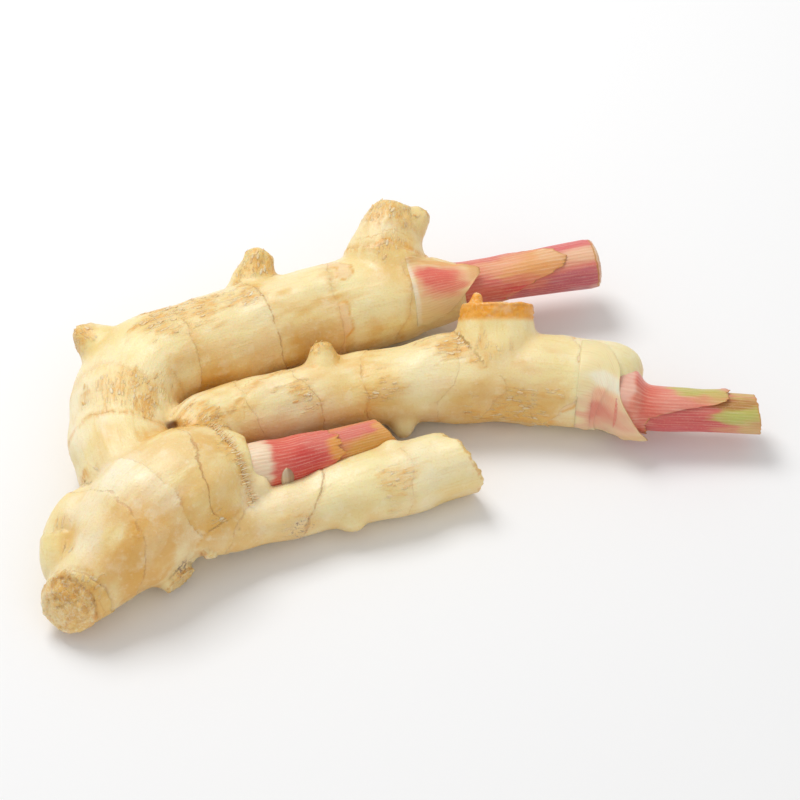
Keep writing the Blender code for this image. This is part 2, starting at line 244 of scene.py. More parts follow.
# Patches on the skin: point on the surface, radius in mm, strength
skinPatches = {
    "dry": [
        ((-75, -7, 28), 8, 0.75), ((-69, -14, 27), 6, 0.9), ((-82, -11, 23), 6, 0.5),
        ((-66, -3, 23), 6, 0.4), ((-66.8, 17.5, 27.4), 7, 0.8), ((-60, 21, 27.5), 6, 0.65),
        ((-54.7, 23.7, 27), 7, 0.8), ((-48, 27, 27), 6, 0.6), ((-43, 29.5, 27), 5.5, 0.75),
        ((-41, 41, 26), 6, 0.9), ((-4, 46, 30), 6, 0.5), ((-2.5, 57.5, 32), 6.5, 0.75),
        ((-89, 15, 22), 5.5, 0.9), ((-53.5, -12.5, 23), 6, 0.8), ((-49, -18, 25), 4.5, 0.65),
        ((-43, -11, 20), 5, 0.3), ((-28, -3, 21), 4, 0.8), ((-24.5, -6, 18), 3.5, 0.5),
        ((-4.2, -1.2, 19), 6, 0.55), ((13.5, 11, 24), 6, 0.95), ((8, 13, 22), 5.5, 0.6),
        ((25, 8, 25), 5, 0.5), ((29, -4, 13), 7.5, 0.8), ((21, -3, 11), 6.5, 0.6),
        ((38, -4.4, 12.5), 7, 0.6), ((-29, -43, 12), 6, 0.4), ((-0.5, -33, 15), 6, 0.55),
        ((-48, -49, 20), 4, 0.5), ((-86, -67, 17.5), 5, 1.0), ((-79, -67, 18), 3.5, 0.7),
        ((-84, -33.5, 21), 4, 0.9), ((-22, 12, 25), 4, 0.7), ((-57, -59, 9), 4, 0.7),
        ((-48, -58, 3), 8, 0.5), ((-30, 50, 8), 8, 0.7), ((-62, 32, 8), 9, 0.7), ((40, 22, 6), 8, 0.6),
        ((-88, -4, 8), 8, 0.6), ((-80, -28, 20), 4, 0.5), ((-45.5, -28.6, 27), 3.5, 0.7),
        ((-42, -32.5, 24.5), 3, 0.6), ((3, -8, 14), 3, 0.5), ((-88, -49, 19), 3, 0.6),
        ((-85, -57, 18), 3.5, 0.5),
    ],
    # gold: the heel's own golden tone, and a painted golden shade on the lower sides of the fingers and between
    # them
    "gold": [
        ((-64, -56, 26), 13, 1.0), ((-69, -62, 20), 12, 1.0), ((-56, -52, 24), 11, 0.7),
        ((-50, -44, 27), 10, 0.55), ((-46, -40, 26), 8, 0.5), ((-48, -49, 20), 8, 0.7),
        ((-60, -33, 31), 9, 0.45), ((-50, -28, 30), 8, 0.65), ((-39, 11, 16), 13, 0.55),
        ((-52, 5, 15), 13, 0.7), ((-22, 17, 17), 14, 0.7), ((-60, -22, 26), 8, 0.9),
        ((-12, -6, 12), 11, 0.35), ((22, -4, 12), 14, 0.7), ((38, -5, 13), 12, 0.7),
        ((-40, -13, 14), 9, 0.5), ((-42, -47, 15), 8, 0.7), ((-30, -43, 11), 9, 0.4),
        ((-4.2, -1.2, 19), 6, 0.5), ((-79, -70, 13), 8, 0.5), ((-78, -25, 26), 7, 0.4),
        ((-84, -53, 20), 6, 0.5), ((0, 40, 28), 10, 0.3),
    ],
    # pale: paler skin, and a painted highlight on the tops of the heel and the back finger
    "pale": [
        ((-74, -42, 30), 6.5, 0.95), ((-82, -49, 25), 7, 0.85), ((-80, -57, 23), 6, 0.75),
        ((-62, -46, 30), 5, 0.5), ((-86, -9, 25), 7, 0.8), ((-79, 3, 28), 7, 0.3), ((-70, 9, 29), 8, 0.15),
        ((-84, -23, 23), 7, 0.9), ((-12, -33, 17), 9, 0.3), ((8, -26, 17), 12, 0.6),
        ((-57, -8, 24), 5, 0.7), ((36, 6, 25), 9, 0.35), ((6, 2, 20), 8, 0.5), ((8, -5, 14), 5, 0.6),
        ((-34, -38, 17), 7, 0.6), ((-40, -39, 17), 5, 0.7), ((-50, 16, 27), 8, 0.35),
        ((-33, -2, 21), 6, 0.4), ((56, 8, 24), 8, 0.5), ((-4, 52, 30), 5, 0.4), ((-87, -73, 14), 5, 0.4),
    ],
    "greenish": [
        ((-12, -32, 17), 12, 0.7), ((8, 4, 19), 10, 0.4), ((62, 8, 22), 8, 0.5), ((-14, -38, 12), 8, 0.7),
        ((10, -22, 18), 12, 0.4), ((44, 0, 20), 10, 0.4),
    ],
    "speck": [
        ((-56, -57.5, 12), 4, 1.0), ((-53, -58, 7), 3.5, 1.0), ((-61, -59, 12), 3.5, 0.55),
        ((-27, -43.5, 9.5), 4.5, 0.8), ((-45, -49, 13), 4, 0.5), ((-33, -44, 9), 4, 0.5),
        ((-84.5, -33.5, 21), 2, 0.8), ((30, -4, 12), 5, 0.4), ((-35, 52, 12), 3, 0.6),
        ((-60, -50, 2), 5, 0.6), ((-73, -70, 12), 4, 0.35), ((24, -3.5, 13), 4, 0.35),
    ],
}

# Small dark hollows: point, radius and depth in mm, and darkness
pits = [
    ((-61.6, -16.5, 21.9), 2.0, 1.0, 1.0), ((3.3, -8.7, 14.6), 0.9, 0.3, 0.9),
    ((-42.3, -47.3, 15.5), 0.8, 0.35, 0.6), ((-84.6, -34, 22.5), 1.0, 0.5, 0.9),
    ((-39.2, 42, 26.3), 1.3, 0.5, 0.55), ((0.9, 56.5, 31.5), 1.3, 0.7, 0.35),
    ((-53.6, -59.2, 6.5), 1.3, 0.4, 0.9), ((-90.2, -69.6, 14.9), 0.9, 0.3, 0.7),
]

# Shoots: middle line and radius in mm; sheath length and torn edge are given beside their code
shoots = {
    "back_shoot": [(10, 42, 14, 6), (29, 46.5, 14.5, 6.2), (44, 49.3, 15.5, 6.8), (58.3, 52, 16, 7.3)],
    "middle_shoot": [(60, 0.4, 11, 5.9), (72, -1.4, 11, 5.9), (84, -2, 11, 5.6), (99.8, -2.8, 10.5, 5.4)],
    "centre_shoot": [
        (-46, -28, 16, 5.6), (-32, -24.7, 16, 5.6), (-21.5, -20, 14.8, 5.2), (-1, -10.6, 12.5, 4.4)
    ],
}


def place(point):  # a layout point in mm, in the root's own frame
    return np.array(point, float) - np.array(layout["middle"])


def unit(vector):
    return np.array(vector) / np.linalg.norm(vector)


def linearColour(code):  # an sRGB hex value as linear light
    parts = np.array([int(code[i : i + 2], 16) / 255 for i in (1, 3, 5)])
    return np.where(parts <= 0.04045, parts / 12.92, ((parts + 0.055) / 1.055) ** 2.4)


nodeKinds = {  # short names for the nodes used most: kind, output and settings
    "add": ("ShaderNodeMath", 0, {"operation": "ADD"}),
    "subtract": ("ShaderNodeMath", 0, {"operation": "SUBTRACT"}),
    "multiply": ("ShaderNodeMath", 0, {"operation": "MULTIPLY"}),
    "absolute": ("ShaderNodeMath", 0, {"operation": "ABSOLUTE"}),
    "smooth": ("ShaderNodeMapRange", 0, {"interpolation_type": "SMOOTHSTEP"}),  # value, low, high, results
    "mix": ("ShaderNodeMix", 2, {"data_type": "RGBA"}),
    "noise": ("ShaderNodeTexNoise", 0, {}),
    "attribute": ("ShaderNodeAttribute", "Fac", {}),
}


def addNode(tree, kind, inputs=(), out=None, stops=(), **settings):
    # one node with its settings, and its values or links by name or number; gives one of its outputs
    kind, usualOut, usual = nodeKinds.get(kind, (kind, 0, {}))
    node = tree.nodes.new(kind)
    for key, value in (usual | settings).items():
        setattr(node, key, value)
    for key, value in inputs.items() if isinstance(inputs, dict) else enumerate(inputs):
        if isinstance(value, bpy.types.NodeSocket):
            tree.links.new(value, node.inputs[key])
        else:
            isColour = isinstance(value, str) and value.startswith("#")
            node.inputs[key].default_value = (*linearColour(value), 1) if isColour else value
    if stops:
        ramp = node.color_ramp
        while len(ramp.elements) < len(stops):
            ramp.elements.new(0.5)
        for element, (spot, code) in zip(ramp.elements, stops):
            element.position = spot
            element.color = (*linearColour(code), 1)
    return node.outputs[usualOut if out is None else out] if node.outputs else node


def waves(points, size, seed, count=20):  # smooth noise of about -1 to 1, with features of that size
    rng = np.random.default_rng(seed)
    turns = rng.normal(size=(count, points.shape[1]))
    turns /= np.linalg.norm(turns, axis=1)[:, None]
    turns *= rng.uniform(0.6, 1.4, count)[:, None] * math.tau / (2 * np.asarray(size, float))
    return np.sin(points @ turns.T + rng.uniform(0, math.tau, count)).sum(axis=1) / math.sqrt(count)


def step(low, high, value):  # smooth step from 0 at low to 1 at high
    t = np.clip((value - low) / (high - low), 0, 1)
    return t * t * (3 - 2 * t)


def curveRows(stations, perSpan=8):  # Catmull-Rom rows of x, y, z, radius in the root's frame, mm
    rows = np.array(stations, float)
    rows[:, :3] -= layout["middle"]
    rows = np.vstack([2 * rows[0] - rows[1], rows, 2 * rows[-1] - rows[-2]])
    t = np.linspace(0, 1, perSpan, endpoint=False)[:, None]
    spans = [
        b + 0.5 * ((c - a) * t + (2 * a - 5 * b + 4 * c - d) * t**2 + (3 * b - 3 * c + d - a) * t**3)
        for a, b, c, d in zip(rows, rows[1:], rows[2:], rows[3:])
    ]
    return np.vstack([*spans, rows[-2:-1]])


def rowFrames(rows):  # unit vectors along, across (level) and up at each row
    along = np.gradient(rows[:, :3], axis=0)
    along /= np.linalg.norm(along, axis=1)[:, None]
    across = np.cross((0, 0, 1), along)
    across /= np.linalg.norm(across, axis=1)[:, None]
    return along, across, np.cross(along, across)


def domedRows(rows, tip):  # the rows with a rounded end past the last one
    if not tip:
        return rows
    end = rows[-1]
    ahead = end[:3] - rows[-2][:3]
    ahead /= np.linalg.norm(ahead)
    turns = np.radians((25, 48, 68, 82))
    dome = [[*(end[:3] + ahead * tip * math.sin(turn)), end[3] * math.cos(turn)] for turn in turns]
    return np.vstack([rows, dome])


def ringPoints(rows, angles):  # points round each row at the given angles in radians
    _, across, up = rowFrames(rows)
    reach = rows[:, 3][:, None]
    flat = layout["wide"] * np.cos(angles)[..., None] * across[:, None]
    flat = flat + layout["tall"] * np.sin(angles)[..., None] * up[:, None]
    return rows[:, None, :3] + reach[..., None] * flat


def makeObject(name, points, faces):  # a smooth mesh from points in mm
    mesh = bpy.data.meshes.new(name)
    mesh.from_pydata((np.asarray(points) * mm).tolist(), [], faces)
    mesh.shade_smooth()
    made = bpy.data.objects.new(name, mesh)
    bpy.context.collection.objects.link(made)
    return made


def gridFaces(count, sides, closed):  # quads over a grid of rows and columns, outwards
    faces = []
    for i in range(count - 1):
        for j in range(sides if closed else sides - 1):
            k = (j + 1) % sides
            a, b = i * sides, (i + 1) * sides
            faces.append((a + j, a + k, b + k, b + j))
    return faces


def tubeMesh(rows, sides):  # a closed tube as a bmesh, flat at both ends
    angles = np.arange(sides) * math.tau / sides
    rings = ringPoints(rows, np.tile(angles, (len(rows), 1)))
    body = bmesh.new()
    verts = [body.verts.new(p) for p in rings.reshape(-1, 3)]
    for face in gridFaces(len(rows), sides, True):
        body.faces.new([verts[i] for i in face])
    body.faces.new(verts[:sides][::-1])
    body.faces.new(verts[-sides:])
    return body


def plainMesh(obj):  # applies every modifier and leaves a plain mesh
    graph = bpy.context.evaluated_depsgraph_get()
    done = bpy.data.meshes.new_from_object(obj.evaluated_get(graph))
    obj.modifiers.clear()
    obj.data = done
    return obj


def meshArrays(mesh):  # points in mm, edges and normals
    points = np.empty(len(mesh.vertices) * 3)
    mesh.vertices.foreach_get("co", points)
    edges = np.empty(len(mesh.edges) * 2, int)
    mesh.edges.foreach_get("vertices", edges)
    normals = np.empty(len(mesh.vertices) * 3)
    mesh.vertices.foreach_get("normal", normals)
    return points.reshape(-1, 3) / mm, edges.reshape(-1, 2), normals.reshape(-1, 3)


def relax(points, edges, weight, passes):  # moves each point towards its neighbours
    count = len(points)
    near = np.bincount(edges.ravel(), minlength=count).astype(float)
    for _ in range(passes):
        mean = np.empty_like(points)
        for k in range(3):
            mean[:, k] = np.bincount(edges[:, 0], points[edges[:, 1], k], count)
            mean[:, k] += np.bincount(edges[:, 1], points[edges[:, 0], k], count)
        points = points + (mean / near[:, None] - points) * weight[:, None]
    return points


def setPoints(mesh, points):
    mesh.vertices.foreach_set("co", (points * mm).ravel())
    mesh.update()


def setAttribute(mesh, name, values, kind="FLOAT"):
    field = "vector" if kind == "FLOAT_VECTOR" else "color" if kind == "FLOAT_COLOR" else "value"
    if kind == "FLOAT_COLOR":
        values = np.hstack([values, np.ones((len(values), 1))])
    layer = mesh.attributes.new(name, kind, "POINT")
    layer.data.foreach_set(field, np.ascontiguousarray(values, dtype=np.float32).ravel())


def tintOver(tint, code, amount):  # paints a colour over the tint where amount is up to 1
    return tint + (linearColour(code) - tint) * np.clip(amount, 0, 1)[:, None]


def nearestGrowth(points, tracks):  # for each point: growth, distances, and its place in that growth
    count = len(points)
    found = {key: np.zeros(count) for key in ("growth", "along", "share", "radius")}
    found["offset"] = np.zeros((count, 3))
    found["axis"] = np.zeros((count, 3))
    first = np.full(count, 1e9)
    second = np.full(count, 1e9)
    for index, rows in enumerate(tracks.values()):
        reach = rows[:, 3].max() + 8
        low, high = rows[:, :3].min(0) - reach, rows[:, :3].max(0) + reach
        inside = np.all((points > low) & (points < high), axis=1)
        picked = np.flatnonzero(inside)
        a, ab = rows[:-1, :3], np.diff(rows[:, :3], axis=0)
        length = np.linalg.norm(ab, axis=1)
        travelled = np.concatenate([[0], np.cumsum(length)])
        along, across, up = rowFrames(rows)
        for part in np.array_split(picked, max(1, len(picked) // 8000)):
            ap = points[part, None] - a[None]
            t = np.clip((ap * ab).sum(-1) / (length**2), 0, 1)
            off = ap - t[..., None] * ab
            radius = rows[:-1, 3] + t * np.diff(rows[:, 3])
            score = np.linalg.norm(off, axis=-1) - radius
            best = score.argmin(axis=1)
            pick = np.arange(len(part)), best
            value = score[pick]
            nearer = value < first[part]
            second[part] = np.where(nearer, first[part], np.minimum(second[part], value))
            won, seg = part[nearer], best[nearer]
            offNear = off[pick][nearer]
            first[won] = value[nearer]
            found["growth"][won] = index
            found["along"][won] = travelled[seg] + t[pick][nearer] * length[seg]
            found["share"][won] = found["along"][won] / travelled[-1]
            found["radius"][won] = radius[pick][nearer]
            found["axis"][won] = along[seg]
            found["offset"][won, 1] = (offNear * across[seg]).sum(-1)
            found["offset"][won, 2] = (offNear * up[seg]).sum(-1)
    found["offset"][:, 0] = found["along"]
    found["lead"] = second - first
    return found


rhizomeShape = {
    "cellSize": 0.75,  # mm, mesh fineness
    "relaxPasses": 9,
    "lumpHeight": 0.4,  # mm, uneven growth
    "wrinkleHeight": 0.05,  # mm, lengthwise wrinkles
    "ringWander": 1.1,  # mm, how far a ring strays from its plane
    "tornDepth": 0.55,  # mm, at the broken end
    "knobblyBuds": (
        "cornerBud", "backBud", "backBudShoulder", "backBranch", "branchScale", "middleBud", "heelBud",
    ),
}


def growRhizome(shape):
    names = list(growths)
    cutPlanes = {
        growth: (place(middle), unit(away)) for growth, middle, away in cutFaces.values()
    }
    body = bmesh.new()
    for name, growth in growths.items():
        part = tubeMesh(domedRows(curveRows(growth["stations"], 6), growth["tip"]), 36)
        if name in cutPlanes:
            middle, away = cutPlanes[name]
            everything = part.verts[:] + part.edges[:] + part.faces[:]
            bmesh.ops.bisect_plane(part, geom=everything, plane_co=middle, plane_no=away, clear_outer=True)
            bmesh.ops.holes_fill(part, edges=[e for e in part.edges if e.is_boundary])
        bmesh.ops.triangulate(part, faces=[f for f in part.faces if len(f.verts) > 4])
        temp = bpy.data.meshes.new("temp")
        part.to_mesh(temp)
        part.free()
        body.from_mesh(temp)
        bpy.data.meshes.remove(temp)
    mesh = bpy.data.meshes.new("rhizomeSkin")
    bmesh.ops.scale(body, vec=(mm, mm, mm), verts=body.verts)
    body.to_mesh(mesh)
    body.free()
    rhizome = bpy.data.objects.new("rhizomeSkin", mesh)
    bpy.context.collection.objects.link(rhizome)
    fuse = rhizome.modifiers.new("fuse", "REMESH")
    fuse.mode = "VOXEL"
    fuse.voxel_size = shape["cellSize"] * mm
    plainMesh(rhizome)
    mesh = rhizome.data
    mesh.shade_smooth()
    points, edges, _ = meshArrays(mesh)
    print("rhizome fused:", len(points), "points")

    # distance in front of each cut plane, for the growth that it ends
    tracks = {name: domedRows(curveRows(growth["stations"]), growth["tip"]) for name, growth in growths.items()}
    cutGap = np.full(len(points), -99.0)
    for name, (middle, away) in cutPlanes.items():
        rows = tracks[name]
        close = np.linalg.norm(points - middle, axis=1) < rows[:, 3].max() + 3
        cutGap = np.where(close, np.maximum(cutGap, (points - middle) @ away), cutGap)
    sharp = np.where(np.linalg.norm(points - cutPlanes["heel"][0], axis=1) < 16, 0.0, 0.85)
    hold = 0.5 * (1 - sharp * step(-1.6, -0.3, cutGap))
    points = relax(points, edges, hold, shape["relaxPasses"])
    setPoints(mesh, points)
    points, _, normals = meshArrays(mesh)
    where = nearestGrowth(points, tracks)
    growth = where["growth"].astype(int)
    pure = step(0, 3.5, where["lead"])
    grain = where["offset"].copy()
    grain[:, 0] += growth * 37.0
    print("rhizome placed in its growths")

    # leaf scar rings: a thin line, a raised lip, and a change of tone on each side
    ringGap = np.full(len(points), 30.0)
    ringLine = np.zeros(len(points))
    ringWarm = np.zeros(len(points))
    tones = {"pale": np.zeros(len(points)), "gold": np.zeros(len(points))}
    tongueMask = np.zeros(len(points))
    tongueEdge = np.zeros(len(points))
    raised = np.zeros(len(points))
    wander = waves(points, 9, 5) * shape["ringWander"] + waves(points, 3.2, 6) * 0.35
    wander = wander + waves(points, 1.1, 7) * 0.1
    patchyBack, patchyFront = (0.75 + 0.3 * waves(points, 4, seed) for seed in (90, 91))
    for number, (members, middle, normal, look) in enumerate(rings.values()):
        normal = unit(normal)
        offset = points - place(middle)
        gap = offset @ normal + wander
        member = np.isin(growth, [names.index(m) for m in members])
        near = member & (np.linalg.norm(offset, axis=1) < 2.3 * where["radius"] + 6)
        nearest = near & (np.abs(gap) < np.abs(ringGap))
        ringGap[nearest] = gap[nearest]
        ringLine[nearest] = look["line"]
        ringWarm[nearest] = look.get("warm", 0)
        back, front = look.get("before", 0), look.get("after", 0)
        fadeBack = np.where(near & (gap < 0), np.exp(np.clip(gap, -30, 0) / 5.5), 0) * patchyBack
        fadeFront = np.where(near & (gap >= 0), np.exp(-np.clip(gap, 0, 30) / 4.5), 0) * patchyFront
        tones["pale"] += max(back, 0) * fadeBack + max(-front, 0) * fadeFront
        tones["gold"] += max(-back, 0) * fadeBack + max(front, 0) * fadeFront
        lipNoise = 0.75 + 0.35 * waves(points, 3, 20 + number)
        groove = 0.55 * np.exp(-((gap - 0.35) ** 2) / 0.18)
        lip = np.where(gap < 0, np.exp(np.clip(gap, -20, 0) / 1.3), 0) - groove
        raised += np.where(near, look["lip"] * lip * lipNoise, 0)
        if "tongue" in look:
            reach = look["tongue"] * np.clip(0.35 + 0.9 * waves(points, 4.5, 60 + number), 0, 1.15)
            onTongue = near & (gap > 0) & (gap < reach)
            edge = reach - gap
            raised += np.where(onTongue, 0.28 * step(0, 0.5, edge), 0)
            tongueMask = np.where(onTongue, step(0, 0.4, edge), tongueMask)
            rimHere = np.maximum(tongueEdge, np.exp(-(edge / 0.5) ** 2) * (reach > 0.6))
            tongueEdge = np.where(near & (gap > -0.3), rimHere, tongueEdge)
    print("rhizome ringed")

    # uneven growth, wrinkles, knobbly buds
    isBud = np.isin(growth, [names.index(name) for name in shape["knobblyBuds"]])
    budTip = np.where(isBud, step(0.45, 0.95, where["share"]), 0)
    raised += shape["lumpHeight"] * (waves(points, 11, 1) + 0.4 * waves(points, 5, 2))
    straight = where["offset"] * (0.11, 1.0, 1.0)
    wrinkles = waves(straight, 1.7, 3, 30) * pure
    raised += shape["wrinkleHeight"] * wrinkles * (1 - step(-1, 0, cutGap))
    raised += budTip * (0.35 * waves(points, 2.4, 8) + 0.15 * waves(points, 1.2, 9))
    stubDry = np.where(growth == names.index("middleStub"), step(-5.5, -3.5, cutGap), 0)
    raised += stubDry * (0.18 * waves(where["offset"] * (1, 0.6, 0.6), 0.9, 12) - 0.15)
    cap = step(-0.45, -0.1, cutGap)
    pit = np.zeros(len(points))
    for centre, radius, depth, dark in pits:
        close = np.exp(-((np.linalg.norm(points - place(centre), axis=1) / radius) ** 2))
        raised -= depth * close
        pit = np.maximum(pit, dark * close)
    raised = raised * (1 - cap)
    points = points + normals * raised[:, None]

    # the broken end is torn: longer below, with ragged fibres
    middle, away = cutPlanes["frontFinger"]
    offset = points - middle
    close = (np.linalg.norm(offset, axis=1) < 16) & (growth == names.index("frontFinger"))
    toEnd = np.where(close, step(-6, -0.2, offset @ away), 0)
    side = offset @ np.cross(away, (0, 0, 1))
    tall = offset[:, 2]
    ragged = waves(np.stack([side, tall], 1), 3.4, 31) + 0.5 * waves(np.stack([side, tall], 1), 1.5, 32)
    torn = shape["tornDepth"] * ragged + 0.6 * side + 0.22 * (tall - 1) - 0.7
    points = points + away * (toEnd * torn)[:, None]
    # cut faces: the heel's has swollen, the others are sunken
    cutRings = np.zeros(len(points))
    for name in ("heel", "middleStub", "heelBud"):
        middle, away = cutPlanes[name]
        offset = points - middle
        radial = np.linalg.norm(offset - (offset @ away)[:, None] * away, axis=1)
        flat = np.where(radial < 14, cap, 0) * (np.abs(offset @ away) < 1.5)
        if name == "heel":
            rise = 1.5 * (1 - (radial / 8.5) ** 2) + 0.35 * waves(points, 2.6, 34) + 0.22 * np.sin(radial * 2.4)
        else:
            rise = 0.5 * step(3.5, 6.5, radial) - 0.35
        points = points + away * (flat * (rise + 0.16 * waves(points, 1.1, 33)))[:, None]
        cutRings = np.where(flat > 0, 0.5 + 0.5 * np.sin(radial * 2.4), cutRings)
    points[:, 2] = np.maximum(points[:, 2], 0.02)  # lies on the table
    setPoints(mesh, points)
    _, _, normals = meshArrays(mesh)

    # colour of the skin before its fine pattern; patches have wandering edges, longer along the growth
    stretched = where["offset"] * (0.5, 1.0, 1.0) + growth[:, None] * 20.0
    edgeNoise = 0.42 * waves(stretched, 3.6, 50) + 0.22 * waves(stretched, 1.5, 51)

    def patches(kind):
        total = np.zeros(len(points))
        for centre, radius, strength in skinPatches[kind]:
            far = np.linalg.norm(points - place(centre), axis=1) / radius
            total = np.maximum(
                total, strength * (1 - step(0.25, 1.45, far + edgeNoise * np.clip(far, 0.3, 1)))
            )
        return total

    dry, speck = patches("dry"), patches("speck")
    dry = np.maximum(dry, budTip * 0.8)
    dry = np.maximum(dry, stubDry * 0.2)
    # painted shade: skin in the creases where growths meet and skin that faces down are tinted golden
    creaseShade = (1 - step(0, 3.5, where["lead"])) * step(1, 5, -cutGap)
    undersideShade = step(0.6, -0.5, normals[:, 2])
    tint = np.tile(linearColour(skinLook["cream"]), (len(points), 1))
    tint = tintOver(tint, skinLook["butter"], 0.5 + 0.45 * waves(points, 14, 41))
    young = np.clip(waves(points, 17, 42), 0, 1) * 0.2 + patches("greenish") * 0.6
    tint = tintOver(tint, skinLook["greenish"], young)
    # golden skin from patches and ring tones, plus painted shade on undersides and in creases
    goldenSkinAndShade = patches("gold") * 0.9 + undersideShade * 0.35 + tones["gold"] * 0.5 + creaseShade * 0.25
    tint = tintOver(tint, skinLook["gold"], goldenSkinAndShade)
    blotches = np.clip(waves(points, 6, 43) - 0.8, 0, 0.12)
    # pale skin and ring tones, with a painted highlight where pale patches lie on the tops
    tint = tintOver(tint, skinLook["pale"], patches("pale") * 0.75 + tones["pale"] * 0.7 + blotches)
    tint = tintOver(tint, skinLook["cutFlesh"], cap * 0.85)
    tint = tintOver(tint, skinLook["pale"], cap * cutRings * 0.5 + cap * 0.3 * waves(points, 4, 45))
    tint = tintOver(tint, skinLook["stubBand"], stubDry * (0.95 + 0.15 * waves(points, 2.5, 44)))
    setAttribute(mesh, "tint", tint, "FLOAT_COLOR")
    setAttribute(mesh, "grain", grain, "FLOAT_VECTOR")
    ringWarm = ringWarm * (np.abs(ringGap) < 3.2)
    ringNear = step(3.2, 1.8, np.abs(ringGap))
    for label, values in (
        ("ringGap", ringGap), ("ringLine", ringLine), ("ringWarm", ringWarm), ("ringNear", ringNear),
        ("tongue", tongueMask), ("tongueEdge", tongueEdge), ("dry", dry), ("speck", speck), ("pit", pit),
        ("pure", pure), ("cap", cap), ("cutGap", np.clip(cutGap, -20, 1)),
    ):
        setAttribute(mesh, label, values)
    print("rhizome painted")
    return rhizome, {"points": points, "normals": normals, "where": where, "dry": dry, "cap": cap}


skinLook = {
    "cream": "#F3E4B4",
    "butter": "#F0DA98",
    "greenish": "#EDE3A2",
    "pale": "#F8ECCB",
    "gold": "#E0A848",
    "amber": "#E6BC68",
    "dry": "#E2A548",
    "dryDeep": "#CF8F42",
    "ringLine": "#B9793C",
    "stubBand": "#F0A020",
    "pit": "#6E3F1E",
    "peel": "#EFC79A",
    "flake": "#F9EBC8",
    "speck": "#8C6A62",
    "cutFlesh": "#F1CF80",
    "cutFibre": "#E2B25A",
    "roughness": 0.38,
    "poreSize": 0.55,  # mm
    "streakWidth": 0.8,  # mm, across the fine lengthwise streaks
    "bumpHeight": 0.26,  # mm
    "seeDepth": 2.2,  # mm, how far light spreads in the flesh
}


